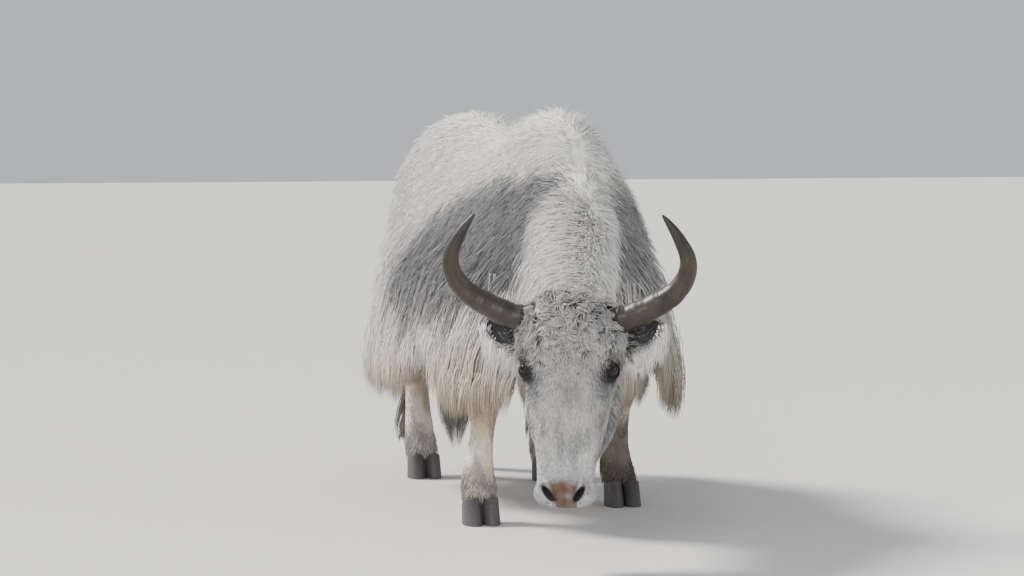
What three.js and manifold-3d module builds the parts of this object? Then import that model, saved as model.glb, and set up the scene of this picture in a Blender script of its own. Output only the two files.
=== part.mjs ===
// A life-size domestic yak that grazes, in millimetres: Z up, the floor at Z = 0
// The head is towards -Y, and the animal's left is at +X.
// Every piece is a unit sphere or cylinder whose rows are drawn out to named sizes, then joined and cut.
import * as THREE from "three";
import { mergeVertices } from "three/addons/utils/BufferGeometryUtils.js";
import Module from "manifold-3d";

const wasm = await Module();
wasm.setup();

// Driving sizes
const HUMP_TOP = 1220;
const GAP = 0.4;
const SPLIT = 0.15;
const BELLY_ROUND = 2.3;
const SKIRT_TOP = 705;
const BAND_FOOT = 430;
const SKIRT_END = 292;
const SKIRT_SPAN = [-250, 835];
const SKIRT_FLARE = 32;
const SKIRT_RISE = { middle: 290, reach: 170, height: 150 };
const COAT_LIE = 14;
const SEED = 20260;

// The trunk from chest to tail, in rows of
// place along Y, back, widest height, belly, half width, and how peaked the back is
const TRUNK = [
  [-330, 0.7 * HUMP_TOP, 690, 545, 150, 2.0],
  [-240, 0.82 * HUMP_TOP, 650, 490, 215, 1.95],
  [-120, 0.93 * HUMP_TOP, 600, 455, 272, 1.8],
  [-20, 0.985 * HUMP_TOP, 560, 440, 310, 1.7],
  [70, HUMP_TOP, 545, 436, 324, 1.68],
  [200, 0.985 * HUMP_TOP, 545, 434, 335, 1.7],
  [350, 0.95 * HUMP_TOP, 560, 434, 345, 1.85],
  [500, 0.93 * HUMP_TOP, 575, 434, 350, 2.0],
  [650, 0.94 * HUMP_TOP, 590, 440, 350, 2.1],
  [800, 0.97 * HUMP_TOP, 610, 460, 346, 2.25],
  [950, 0.997 * HUMP_TOP, 630, 500, 338, 2.35],
  [1060, 0.99 * HUMP_TOP, 650, 545, 320, 2.35],
  [1150, 0.945 * HUMP_TOP, 690, 600, 282, 2.2],
  [1225, 0.84 * HUMP_TOP, 740, 680, 212, 2.0],
];
const TRUNK_FRONT = -345;
const TRUNK_REAR = 1230;
const CHEST_DOME = 170;
const BUTTOCK_DOME = 130;

// Where the trunk is parted
const HUMP_FLOOR = 950;
const SHOULDER_END = 330;
const FLANK_END = 820;

// The neck: half width, above and below its line, at even steps from the chest to the nape
const NECK_LINE = [
  [-20, -40, 850],
  [-85, -330, 775],
  [-160, -620, 680],
  [-213, -825, 590],
];
const NECK_SIZES = [
  [0, 190, 250, 275],
  [0.35, 145, 205, 240],
  [0.7, 110, 165, 195],
  [1, 96, 140, 150],
];

// The head is modelled face on: X to its left, Y out of the forehead, Z down the face to the muzzle
const HEAD_AT = [-266, -943, 713];
const HEAD_TURN = 24.5;
const HEAD_TILT = 14;
const HEAD_END = 550;
const CROWN = -24;
const FACE = [
  // down the face, half width, front, back
  [-24, 104, 0, -120],
  [30, 124, 16, -160],
  [100, 134, 24, -186],
  [180, 130, 20, -200],
  [260, 117, 9, -182],
  [340, 100, 3, -150],
  [420, 86, -1, -118],
  [480, 82, -5, -98],
  [520, 86, -22, -94],
  [550, 80, -50, -92],
];
const JAW = [
  [150, 100, -110, -212],
  [230, 121, -100, -214],
  [330, 113, -84, -182],
  [390, 90, -82, -156],
  [440, 64, -84, -142],
  [490, 50, -84, -134],
  [530, 44, -86, -126],
];
const EYE = { left: 108, front: -34, down: 188, radius: 21 };
const HORN_LINE = [
  [96, -40, 52],
  [150, -32, 47],
  [228, -16, 14],
  [276, 2, -14],
  [308, 24, -54],
  [314, 44, -96],
  [295, 62, -140],
  [270, 76, -178],
  [247, 86, -206],
];
const HORN_SIZES = [
  [0, 36],
  [0.13, 35],
  [0.3, 31],
  [0.5, 25.5],
  [0.7, 19],
  [0.87, 11],
  [1, 3],
];

// Each leg's joints, and its half width with what lies before and behind its line
const LEGS = {
  fore_right: [[-190, 10, 780], [-216, 80, 590], [-250, -10, 335], [-273, -36, 140], [-281, -80, 56]],
  fore_left: [[185, 30, 780], [203, 150, 590], [222, 175, 335], [236, 246, 140], [240, 202, 56]],
  hind_right: [[-160, 950, 890], [-212, 870, 640], [-180, 1125, 415], [-176, 1086, 140], [-175, 1042, 56]],
  hind_left: [[160, 930, 890], [212, 810, 640], [192, 990, 415], [200, 911, 140], [200, 866, 56]],
};
const FORE_SIZES = [
  [0, 100, 130, 130],
  [0.25, 80, 100, 98],
  [0.5, 49, 52, 50],
  [0.62, 43, 42, 42],
  [0.76, 54, 50, 55],
  [1, 52, 50, 46],
];
const HIND_SIZES = [
  [0, 130, 170, 190],
  [0.25, 104, 120, 220],
  [0.4, 72, 82, 120],
  [0.5, 53, 52, 66],
  [0.62, 47, 46, 46],
  [0.76, 55, 50, 54],
  [1, 52, 50, 46],
];
const KNEE_CUT = 330;
const HOOF = { length: 108, width: 106, front: 82, heel: 52, cleft: 7 };
const TAIL_LINE = [
  [0, 1170, 1040],
  [0, 1256, 960],
  [0, 1292, 760],
  [0, 1296, 520],
  [0, 1288, 330],
];
const TAIL_SIZES = [
  [0, 42, 40, 40],
  [0.3, 30, 28, 28],
  [0.7, 30, 24, 28],
  [1, 12, 10, 12],
];

// How full a lock is from its root to its tip
const LOCK_TAPER = [
  [0, 0],
  [0.25, 1],
  [0.5, 0.86],
  [0.75, 0.5],
  [1, 0],
];

const COLOURS = {
  coat: { color: 0xe4ddd0, roughness: 0.95, metalness: 0 },
  grey: { color: 0x8d8c8e, roughness: 0.95, metalness: 0 },
  face: { color: 0xcbc6bd, roughness: 0.9, metalness: 0 },
  horn: { color: 0x4a3b2d, roughness: 0.5, metalness: 0 },
  hoof: { color: 0x3f3d40, roughness: 0.6, metalness: 0 },
  eye: { color: 0x14100d, roughness: 0.08, metalness: 0 },
};

// A table's row at a place along it, on a smooth curve through its rows
function along(table, place) {
  const last = table.length - 1;
  const at = Math.min(Math.max(place, table[0][0]), table[last][0]);
  let i = 0;
  while (i < last - 1 && at > table[i + 1][0]) i++;
  const slope = (k, column) => {
    const a = table[Math.max(0, k - 1)];
    const b = table[Math.min(last, k + 1)];
    return (b[column] - a[column]) / (b[0] - a[0]);
  };
  const [from, to] = [table[i], table[i + 1]];
  const span = to[0] - from[0];
  const s = (at - from[0]) / span;
  return from.slice(1).map((value, k) => {
    const column = k + 1;
    const bend = slope(i, column) * span * s * (1 - s) ** 2 - slope(i + 1, column) * span * s * s * (1 - s);
    return value * (1 + 2 * s) * (1 - s) ** 2 + to[column] * s * s * (3 - 2 * s) + bend;
  });
}

// The share of a section's size where a form closes in a dome at its two ends
function dome(place, start, end, first, final) {
  const a = Math.min(1, Math.max(0, (place - start) / first));
  const b = Math.min(1, Math.max(0, (end - place) / final));
  return Math.sqrt(1 - (1 - a) ** 2) * Math.sqrt(1 - (1 - b) ** 2);
}

const ease = (t) => (1 - Math.cos(Math.PI * t)) / 2;
const power = (x, n) => Math.sign(x) * Math.abs(x) ** n;
const vector = (p) => new THREE.Vector3(...p);

// Numbers from 0 to 1 that are the same in each run
function draws(seed) {
  let state = seed;
  return () => {
    state = (state * 1664525 + 1013904223) % 4294967296;
    return state / 4294967296;
  };
}

// A closed skin: the unit sphere's rows and columns moved to place(t, turn)
// t goes from 0 to 1 between its poles
function skin(rows, sides, place) {
  const geometry = new THREE.SphereGeometry(1, sides, rows);
  const { position, uv } = geometry.attributes;
  for (let i = 0; i < position.count; i++) {
    const p = place(1 - uv.getY(i), uv.getX(i) * 2 * Math.PI);
    position.setXYZ(i, p.x, p.y, p.z);
  }
  return geometry;
}

// A limb along a smooth line, with sizes of half width, before and behind, and domed ends
function limb(line, sizes, rows, sides, { round = 2.2, side = [1, 0, 0], start = 0.04, end = 0.04 } = {}) {
  const path = new THREE.CatmullRomCurve3(line.map(vector));
  return skin(rows, sides, (t, turn) => {
    const centre = path.getPoint(t);
    const tangent = path.getTangent(t);
    const front = tangent.clone().cross(vector(side)).normalize();
    const across = front.clone().cross(tangent).normalize();
    const [half, before = half, behind = half] = along(sizes, t);
    const size = dome(t, 0, 1, start, end);
    const reach = Math.cos(turn) > 0 ? before : behind;
    return centre
      .addScaledVector(across, half * size * power(Math.sin(turn), 2 / round))
      .addScaledVector(front, reach * size * power(Math.cos(turn), 2 / round));
  });
}

// An ellipsoid in a frame of its own
function ball(centre, radii, columns = 10, rows = 6) {
  return new THREE.SphereGeometry(1, columns, rows).scale(...radii).translate(...centre);
}

// A flat, tapered lock: three sided, ridged outside, along a smooth line of points
function lock(points, width, thick, outwards, rows = 4) {
  const path = new THREE.CatmullRomCurve3(points.map(vector));
  const out = vector(outwards).normalize();
  return skin(rows, 3, (t, turn) => {
    const across = out.clone().cross(path.getTangent(t)).normalize();
    const [full] = along(LOCK_TAPER, t);
    return path
      .getPoint(t)
      .addScaledVector(across, width * 0.58 * full * Math.sin(turn))
      .addScaledVector(out, thick * 0.66 * full * Math.cos(turn));
  });
}

// A geometry as a solid, grown outwards by some distance
function solid(geometry, grow = 0) {
  const bare = geometry.clone();
  bare.deleteAttribute("normal");
  bare.deleteAttribute("uv");
  const merged = mergeVertices(bare, 1e-3);
  const make = (index) => {
    const vertProperties = new Float32Array(merged.attributes.position.array);
    const mesh = new wasm.Mesh({ numProp: 3, vertProperties, triVerts: new Uint32Array(index) });
    return new wasm.Manifold(mesh);
  };
  let index = Array.from(merged.index.array);
  const outward = make(index).volume() > 0;
  if (!outward) index = index.flatMap((_, i) => (i % 3 ? [] : [index[i], index[i + 2], index[i + 1]]));
  merged.setIndex(index);
  if (grow) {
    merged.computeVertexNormals();
    const { position, normal } = merged.attributes;
    for (let i = 0; i < position.count; i++) {
      const p = new THREE.Vector3().fromBufferAttribute(position, i);
      p.addScaledVector(new THREE.Vector3().fromBufferAttribute(normal, i), grow);
      position.setXYZ(i, p.x, p.y, p.z);
    }
  }
  return make(index);
}

const join = (geometries, grow = 0) => wasm.Manifold.union(geometries.map((g) => solid(g, grow)));
const largest = (form) => form.decompose().reduce((a, b) => (b.volume() > a.volume() ? b : a));

// A box from its lowest to its highest corner
function block(low, high) {
  const size = high.map((v, i) => v - low[i]);
  return solid(new THREE.BoxGeometry(...size).translate(...high.map((v, i) => (v + low[i]) / 2)));
}

const trunkSize = (y) => dome(y, TRUNK_FRONT, TRUNK_REAR, CHEST_DOME, BUTTOCK_DOME);

// The trunk's half width at a place along it and a height
function trunkHalf(y, z) {
  const [top, wide, belly, half, peak] = along(TRUNK, y);
  const middle = (top + belly) / 2;
  const level = middle + (z - middle) / trunkSize(y);
  const up = level > wide;
  const share = up ? (level - wide) / (top - wide) : (wide - level) / (wide - belly);
  const round = up ? peak : BELLY_ROUND;
  return half * trunkSize(y) * (1 - Math.min(1, share) ** round) ** (1 / round);
}

function trunk() {
  return skin(18, 20, (t, turn) => {
    const y = THREE.MathUtils.lerp(TRUNK_FRONT, TRUNK_REAR, 0.65 * t + 0.35 * ease(t));
    const [top, wide, belly, half, peak] = along(TRUNK, y);
    const up = Math.cos(turn) > 0;
    const round = up ? peak : BELLY_ROUND;
    const middle = (top + belly) / 2;
    const z = wide + (up ? top - wide : wide - belly) * power(Math.cos(turn), 2 / round);
    const x = half * power(Math.sin(turn), 2 / round);
    return new THREE.Vector3(x * trunkSize(y), y, middle + (z - middle) * trunkSize(y));
  });
}

// The head's own frame, turned to the right and tilted nose forwards
const headPlace = new THREE.Matrix4()
  .makeTranslation(...HEAD_AT)
  .multiply(new THREE.Matrix4().makeRotationZ(THREE.MathUtils.degToRad(-HEAD_TURN)))
  .multiply(new THREE.Matrix4().makeRotationX(THREE.MathUtils.degToRad(180 - HEAD_TILT)))
  .multiply(new THREE.Matrix4().makeRotationY(0));
const onHead = (p) => vector(p).applyMatrix4(headPlace);
const headed = (geometry) => geometry.applyMatrix4(headPlace);

// A skin over the head's sections
function faceForm(table, start, end, rows, sides, front, back, first, final) {
  return skin(rows, sides, (t, turn) => {
    const down = THREE.MathUtils.lerp(start, end, 0.5 * t + 0.5 * ease(t));
    const [half, high, low] = along(table, down);
    const size = dome(down, start, end, first, final);
    const round = Math.cos(turn) > 0 ? front : back;
    const middle = high + 0.42 * (low - high);
    const reach = Math.cos(turn) > 0 ? high - middle : middle - low;
    return new THREE.Vector3(
      half * size * power(Math.sin(turn), 2 / round),
      middle + reach * size * power(Math.cos(turn), 2 / round),
      down,
    );
  });
}

const both = (make) => [make(-1), make(1)];

function headCore() {
  return [
    faceForm(FACE, CROWN, HEAD_END, 13, 16, 2.7, 2.0, 60, 44),
    faceForm(JAW, 120, 532, 8, 10, 2.2, 2.2, 90, 30),
    ...both((s) => ball([s * EYE.left * 0.93, EYE.front, EYE.down - 2], [33, 30, 40], 8, 6)),
    ...both((s) => ball([s * 44, -56, 514], [46, 42, 36], 8, 6)),
  ].map(headed);
}

// Eye openings, nostrils and the line of the mouth, cut from the head
function headCuts() {
  const lids = both((s) =>
    ball([0, 0, 0], [13, 12, 40], 10, 5)
      .scale(1, 1.75, 1)
      .rotateZ(s * 0.5)
      .rotateX(-1.05)
      .rotateZ(-s * 0.92)
      .translate(s * (EYE.left + 14), EYE.front + 14, EYE.down),
  );
  const socket = Array(3).fill(EYE.radius + GAP);
  const eyes = both((s) => ball([s * EYE.left, EYE.front, EYE.down], socket, 10, 8));
  const nostrils = both((s) =>
    ball([0, 0, 0], [10, 20, 30], 8, 6)
      .rotateY(s * -0.55)
      .rotateX(0.58)
      .translate(s * 40, -22, 514),
  );
  const mouth = solid(headed(ball([0, -91, 545], [110, 3.2, 96], 14, 4))).subtract(
    solid(headed(ball([0, -91, 500], [56, 30, 68], 10, 4))),
  );
  return wasm.Manifold.union([join([...lids, ...eyes, ...nostrils].map(headed)), mouth]);
}

// Rounded clumps set close over the forehead and poll
function curls() {
  const draw = draws(SEED);
  const clumps = [];
  for (let row = 0; row < 5; row++) {
    const down = -10 + row * 36;
    const [half, front] = along(FACE, Math.max(down, 0));
    const reach = half * (row < 4 ? 0.86 : 0.6);
    const count = row < 4 ? 6 : 4;
    for (let i = 0; i < count; i++) {
      const across = reach * ((2 * (i + 0.5 + 0.5 * (row % 2) - 0.25)) / count - 1);
      const fall = 26 * Math.abs(across / half) ** 3 + (down < 10 ? 16 : 0);
      const size = 28 + 5 * draw() - 1.2 * row;
      const clump = new THREE.SphereGeometry(1, 5, 4)
        .scale(size * 0.82, size * 0.72, size * 1.05)
        .rotateY(draw() * 2)
        .translate(across + 4 * (draw() - 0.5), front - fall - 1, down + 6 * (draw() - 0.5));
      clumps.push(headed(clump));
    }
  }
  return clumps;
}

function horn(s) {
  const line = HORN_LINE.map(([x, y, z]) => onHead([s * x, y, z]).toArray());
  return limb(line, HORN_SIZES, 12, 9, { round: 2, side: [0, 0.2, 1], start: 0.02, end: 0.03 });
}

// An ear's cup: a leaf hollowed from the front, on a short root
function ear(s) {
  const outer = ball([0, 0, 74], [40, 25, 74], 10, 7);
  const hollow = ball([0, 17, 80], [31, 27, 62], 10, 5);
  const root = ball([0, -4, 8], [26, 22, 34], 8, 4);
  const place = (g) =>
    headed(
      g
        .rotateZ(s * -0.35)
        .rotateX(0.15)
        .rotateY(s * 2.18)
        .translate(s * 118, -78, 122),
    );
  return { outer: [place(outer), place(root)], hollow: place(hollow) };
}

// Locks that hang from an ear's lower edge
function earFringe(s) {
  const locks = [];
  for (let i = 0; i < 4; i++) {
    const t = i / 3;
    const root = onHead([s * (140 + 88 * t), -82 - 6 * t, 128 - 52 * t]).toArray();
    const tip = [root[0] + s * (10 + 14 * t), root[1] - 6, root[2] - 58 - 8 * Math.sin(Math.PI * t)];
    const mid = [(root[0] + tip[0]) / 2 + s * 4, (root[1] + tip[1]) / 2, (root[2] + tip[2]) / 2 + 4];
    const start = [root[0] - s * 8, root[1] + 4, root[2] + 14];
    locks.push(lock([start, mid, tip], 27, 12, [s * 0.3, -1, 0], 3));
  }
  return locks;
}

// How far out the long hair hangs at a place along the trunk and a height
function hang(y, z) {
  const wide = along(TRUNK, y)[1];
  const fall = Math.min(1, Math.max(0, (SKIRT_TOP - 60 - z) / 260));
  return trunkHalf(y, Math.max(z, wide)) + COAT_LIE + SKIRT_FLARE * fall ** 1.2;
}

// A lock that falls down a side, from a root sunk by some depth
function drape(s, y, z, length, width, { sweep = 24, lift = 9, sink = 14, lie = 0 } = {}) {
  const points = [0, 0.3, 0.65, 1].map((t) => {
    const down = z - length * t;
    const out = t === 0 ? -sink : lie + lift * Math.sin(Math.PI * 0.7 * t);
    const wave = 9 * Math.sin(2 * Math.PI * t);
    return [s * (hang(y, down) + out), y + sweep * t * t + wave, down];
  });
  return lock(points, width, 27, [s, 0, 0.1]);
}

// Rows of draped locks like roof tiles, each row set half a place along
function tiles(s, from, to, rows, draw, { rise = () => 0, ...options } = {}) {
  return rows.flatMap(({ root, tip, count, width }, row) =>
    Array.from({ length: count }, (_, i) => {
      const y = from + ((to - from) * (i + 0.3 + 0.4 * (row % 2))) / count;
      const top = root + 16 * (draw() - 0.5);
      const length = Math.max(top - tip - rise(y), 110) + 36 * (draw() - 0.5);
      const sweep = 24 + 34 * (draw() - 0.5);
      return drape(s, y, top, length, width * (0.92 + 0.18 * draw()), { sweep, ...options });
    }),
  );
}

// How much shorter the skirt's locks are between the legs
const hem = (y) => SKIRT_RISE.height * Math.exp(-(((y - SKIRT_RISE.middle) / SKIRT_RISE.reach) ** 2));

// The band that a skirt's locks grow from, laid on the trunk's side
function band(s) {
  return skin(11, 8, (t, turn) => {
    const y = THREE.MathUtils.lerp(...SKIRT_SPAN, t);
    const size = dome(y, ...SKIRT_SPAN, 70, 70);
    const half = (SKIRT_TOP - BAND_FOOT) / 2;
    const z = BAND_FOOT + half + half * size * Math.cos(turn);
    return new THREE.Vector3(s * (hang(y, z) - 18 + 16 * size * Math.sin(turn)), y, z);
  });
}

// Locks that fall to each side of the hump's crest
function humpCrest() {
  const draw = draws(SEED + 1);
  const locks = [];
  for (let i = 0; i < 5; i++) {
    for (const s of [-1, 1]) {
      const y = -150 + 92 * (i + (s > 0 ? 0.5 : 0));
      const top = along(TRUNK, y)[0];
      const reach = 165 + 30 * draw();
      const points = [0, 0.3, 0.65, 1].map((t) => {
        const z = top - 18 - reach * t;
        const out = t === 0 ? -10 : 2 + 14 * t;
        return [s * (trunkHalf(y, z) * (t === 0 ? 0.2 : 1) + out), y - 34 * t, z + (t === 0 ? 6 : 0)];
      });
      locks.push(lock(points, 104, 28, [s * 0.8, 0, 0.6]));
    }
  }
  return locks;
}

// A place on the neck's surface: how far along, and the turn from its crest to a side
function onNeck(t, turn, out) {
  const path = new THREE.CatmullRomCurve3(NECK_LINE.map(vector));
  const tangent = path.getTangent(t);
  const front = tangent.clone().cross(new THREE.Vector3(1, 0, 0)).normalize();
  const across = front.clone().cross(tangent).normalize();
  const [half, above, below] = along(NECK_SIZES, t);
  const reach = Math.cos(turn) > 0 ? above : below;
  return path
    .getPoint(t)
    .addScaledVector(across, (half + out) * Math.sin(turn))
    .addScaledVector(front, (reach + out) * Math.cos(turn));
}

// The mane on the neck's crest, and the longer hair of its throat
function neckHair() {
  const draw = draws(SEED + 2);
  const locks = [];
  for (let i = 0; i < 4; i++) {
    for (const s of [-1, 1]) {
      const t = 0.34 + 0.14 * (i + (s > 0 ? 0.5 : 0));
      const points = [0.05, 0.5, 0.95, 1.4].map((turn, k) =>
        onNeck(t + 0.035 * k, s * turn, k === 0 ? -16 : 4 + 3 * k).toArray(),
      );
      locks.push(lock(points, 112 + 10 * draw(), 26, [s * 0.75, 0, 0.66]));
    }
  }
  for (let i = 0; i < 3; i++) {
    for (const s of [-1, 1]) {
      const t = 0.46 + 0.15 * i;
      const root = onNeck(t, s * 2.45, -24);
      const edge = onNeck(t, s * 2.6, 8);
      const tip = edge.clone().add(new THREE.Vector3(s * -6, 16, -92 - 30 * draw()));
      const mid = edge.clone().lerp(tip, 0.5).add(new THREE.Vector3(s * 6, 0, 0));
      locks.push(lock([root, edge, mid, tip].map((p) => p.toArray()), 60, 22, [s, -0.2, 0]));
    }
  }
  return locks;
}

// The brisket's hair, on one side of the chest
function brisket(s) {
  const locks = [];
  for (let i = 0; i < 4; i++) {
    const x = s * (30 + 70 * (i % 2));
    const y = -288 + 76 * i;
    const z = along(TRUNK, y)[2] + 46;
    const tip = 352 - 14 * (i % 3);
    const upper = [[x, y, z], [x + s * 6, y - 10, z - 50]];
    const points = [...upper, [x + s * 8, y - 12, (z + tip) / 2], [x, y + 8, tip]];
    locks.push(lock(points, 88, 30, [s * 0.4, -1, 0]));
  }
  return locks;
}

// Locks round an upper leg, hanging from its skin between two turns
function trousers(name, rows) {
  const path = new THREE.CatmullRomCurve3(LEGS[name].map(vector));
  const sizes = name.startsWith("fore") ? FORE_SIZES : HIND_SIZES;
  const s = name.endsWith("left") ? 1 : -1;
  const draw = draws(SEED + name.length);
  const locks = [];
  rows.forEach(({ t, from, to, count, length, width }) => {
    for (let i = 0; i < count; i++) {
      const turn = from + ((to - from) * (i + 0.5)) / count;
      const [half, before, behind] = along(sizes, t);
      const centre = path.getPoint(t);
      const out = new THREE.Vector3(s * Math.sin(turn), -Math.cos(turn), 0);
      const reach = Math.cos(turn) > 0 ? before : behind;
      const away = new THREE.Vector3(s * half * Math.sin(turn), -reach * Math.cos(turn), 0);
      const edge = centre.clone().add(away);
      const drop = length + 26 * (draw() - 0.5);
      const points = [[-24, 10], [10, -0.22 * drop], [22, -0.62 * drop], [14, -drop]].map(([off, fall]) =>
        edge.clone().addScaledVector(out, off).add(new THREE.Vector3(0, 0, fall)).toArray(),
      );
      locks.push(lock(points, width, 22, out.toArray()));
    }
  });
  return locks;
}

// The tail's long hair, in rings down the dock
function tailHair() {
  const draw = draws(SEED + 9);
  const path = new THREE.CatmullRomCurve3(TAIL_LINE.map(vector));
  const locks = [];
  for (let ring = 0; ring < 3; ring++) {
    for (let i = 0; i < 3; i++) {
      const turn = ((i + 0.5 * (ring % 2)) / 3) * 2 * Math.PI;
      const out = new THREE.Vector3(Math.sin(turn), Math.cos(turn) * 0.55, 0);
      const root = path.getPoint(0.42 + 0.22 * ring);
      const bottom = [400, 220, 50][ring] + 30 * draw();
      const spread = 40 + 8 * ring;
      const points = [0, 0.25, 0.6, 1].map((t, k) =>
        root
          .clone()
          .addScaledVector(out, [6, spread, spread + 8, 0.45 * spread][k])
          .setZ(THREE.MathUtils.lerp(root.z + 6, bottom, t))
          .toArray(),
      );
      locks.push(lock(points, 84, 34, out.toArray()));
    }
  }
  return locks;
}

// The longer hair behind the rump, beside the tail
function breech(s) {
  const locks = [];
  for (let i = 0; i < 4; i++) {
    const x = s * (70 + 56 * i);
    const y = 1212 - 0.0011 * x * x;
    const z = 830 - 10 * i;
    const points = [[x, y - 40, z], [x, y + 4, z - 60], [x + s * 4, y + 10, z - 150], [x, y, z - 245]];
    locks.push(lock(points, 84, 26, [s * 0.3, 1, 0]));
  }
  return locks;
}

// A leg of one skin, from inside the trunk to the hoof
const leg = (name) =>
  limb(LEGS[name], name.startsWith("fore") ? FORE_SIZES : HIND_SIZES, 13, 9, { start: 0.08, end: 0.03 });

// A cloven hoof's claw: a flat-soled block that slopes up to the coronet
function claw(name, s) {
  const [x, y] = LEGS[name][4];
  const form = new THREE.CylinderGeometry(1, 1, 1, 12, 1).rotateX(Math.PI / 2);
  const { position } = form.attributes;
  for (let i = 0; i < position.count; i++) {
    const up = position.getZ(i) > 0;
    const across = position.getX(i);
    const forward = -position.getY(i);
    const reach = (HOOF.length / 2) * (up ? 0.72 : 1);
    const wide = (HOOF.width / 4) * (up ? 0.96 : 1.04);
    const height = THREE.MathUtils.lerp(HOOF.heel, HOOF.front, (forward + 1) / 2);
    position.setXYZ(
      i,
      x + s * (HOOF.width / 4 + 1) + wide * across,
      y - (up ? 2 : 16) - reach * forward,
      up ? height : 0,
    );
  }
  return form;
}

// The two small dewclaws behind a pastern
function dewclaw(name, s) {
  const [x, y, z] = LEGS[name][3];
  return ball([0, 0, 0], [13, 13, 20], 6, 4)
    .rotateX(0.5)
    .translate(x + s * 24, y + 50, z - 20);
}

// The share of a form that lies in a box, which grows with the form
const FAR = 4000;
const within = (low, high) => (form, grow) =>
  form.intersect(block(low.map((v) => v - grow), high.map((v) => v + grow)));
const whole = (form) => form;

// Each node has its flesh, the share of it that is its own, hair, and what is carved out at the end
const parts = [];
function part(name, colour, flesh, { share = whole, hair = [], carve = null } = {}) {
  parts.push({ name, colour, flesh: (grow) => share(join(flesh, grow), grow), hair, carve });
}

const SIDES = [
  ["right", -1],
  ["left", 1],
];
const SKIRT_ROWS = [
  { root: 560, tip: SKIRT_END, count: 9, width: 142 },
  { root: 672, tip: 395, count: 8, width: 150 },
];
const RUMP_ROWS = [
  { root: 590, tip: 325, count: 3, width: 140 },
  { root: 705, tip: 430, count: 2, width: 170 },
];
const FORE_TROUSERS = [{ t: 0.36, from: -1.2, to: 4.4, count: 6, length: 215, width: 92 }];
const HIND_TROUSERS = [
  { t: 0.28, from: 0.9, to: 3.3, count: 4, length: 250, width: 96 },
  { t: 0.38, from: 0.2, to: 3.5, count: 5, length: 190, width: 72 },
];

function feet(side, s) {
  for (const name of [`fore_${side}`, `hind_${side}`]) {
    for (const [edge, inner] of [["outer", s], ["inner", -s]]) {
      const slit = LEGS[name][4][0] + (inner * HOOF.cleft) / 2;
      const low = inner > 0 ? [slit, -FAR, -1] : [-FAR, -FAR, -1];
      const high = inner > 0 ? [FAR, FAR, FAR] : [slit, FAR, FAR];
      part(`hoof_${name}_${edge}`, "hoof", [claw(name, inner)], { share: within(low, high) });
      part(`dewclaw_${name}_${edge}`, "hoof", [dewclaw(name, inner)]);
    }
  }
}

function trunkParts() {
  const crest = within([-FAR, -FAR, HUMP_FLOOR + GAP], [FAR, SHOULDER_END - GAP, FAR]);
  part("hump", "coat", [trunk()], { share: crest, hair: humpCrest() });
  for (const [side, s] of SIDES) {
    const draw = draws(SEED + 20 + s);
    const low = s > 0 ? SPLIT : -FAR;
    const high = s > 0 ? FAR : -SPLIT;
    const rumpHair = [...tiles(s, 860, 1130, RUMP_ROWS, draw, { sink: 44, lie: -12 }), ...breech(s)];
    const regions = [
      ["shoulder", -FAR, SHOULDER_END - GAP, HUMP_FLOOR, brisket(s)],
      ["flank", SHOULDER_END, FLANK_END - GAP, FAR, []],
      ["rump", FLANK_END, FAR, FAR, rumpHair],
    ];
    for (const [name, front, rear, top, hair] of regions) {
      const share = within([low, front, -FAR], [high, rear, top]);
      part(`${name}_${side}`, "coat", [trunk()], { share, hair });
    }
    const [front, rear] = SKIRT_SPAN;
    const hair = tiles(s, front + 40, rear - 20, SKIRT_ROWS, draw, { rise: hem });
    part(`skirt_${side}`, "coat", [band(s)], { hair });
  }
}

function headParts() {
  for (const [side, s] of SIDES) {
    const place = [s * EYE.left, EYE.front, EYE.down];
    part(`eye_${side}`, "eye", [headed(ball(place, [EYE.radius, EYE.radius, EYE.radius], 10, 8))]);
  }
  part("head", "face", headCore(), { hair: curls(), carve: headCuts });
  for (const [side, s] of SIDES) {
    const { outer, hollow } = ear(s);
    part(`horn_${side}`, "horn", [horn(s)]);
    part(`ear_${side}`, "grey", outer, { hair: earFringe(s), carve: () => solid(hollow) });
  }
}

function legParts() {
  for (const name of Object.keys(LEGS)) {
    const fore = name.startsWith("fore");
    const hair = trousers(name, fore ? FORE_TROUSERS : HIND_TROUSERS);
    const above = within([-FAR, -FAR, KNEE_CUT + GAP], [FAR, FAR, FAR]);
    const below = within([-FAR, -FAR, -1], [FAR, FAR, KNEE_CUT]);
    part(`upper_leg_${name}`, "coat", [leg(name)], { share: above, hair });
    part(`lower_leg_${name}`, "coat", [leg(name)], { share: below });
  }
}

for (const [side, s] of SIDES) feet(side, s);
headParts();
trunkParts();
legParts();
const neck = limb(NECK_LINE, NECK_SIZES, 9, 14, { start: 0.05, end: 0.12 });
part("neck", "coat", [neck], { hair: neckHair() });
part("tail", "coat", [limb(TAIL_LINE, TAIL_SIZES, 10, 8)], { hair: tailHair() });

const touching = (a, b) => {
  const p = a.boundingBox();
  const q = b.boundingBox();
  return [0, 1, 2].every((i) => p.min[i] <= q.max[i] && q.min[i] <= p.max[i]);
};
const clear = (form, shells) =>
  shells.filter((shell) => touching(form, shell)).reduce((left, shell) => left.subtract(shell), form);

// Flesh stops short of the flesh before it, and hair of all other flesh and the hair before it
const shells = [];
for (const node of parts) {
  node.solid = clear(node.flesh(0), shells.flat());
  node.shells = [node.flesh(GAP), node.flesh(0)];
  shells.push(node.shells);
}
const combed = [];
for (const node of parts) {
  if (node.hair.length) {
    const others = shells.filter((own) => own !== node.shells).flat();
    const hair = join(node.hair);
    node.solid = largest(node.solid.add(clear(hair, [...others, ...combed])));
    combed.push(join(node.hair, GAP), hair);
  }
  if (node.carve) node.solid = node.solid.subtract(node.carve());
}

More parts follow.
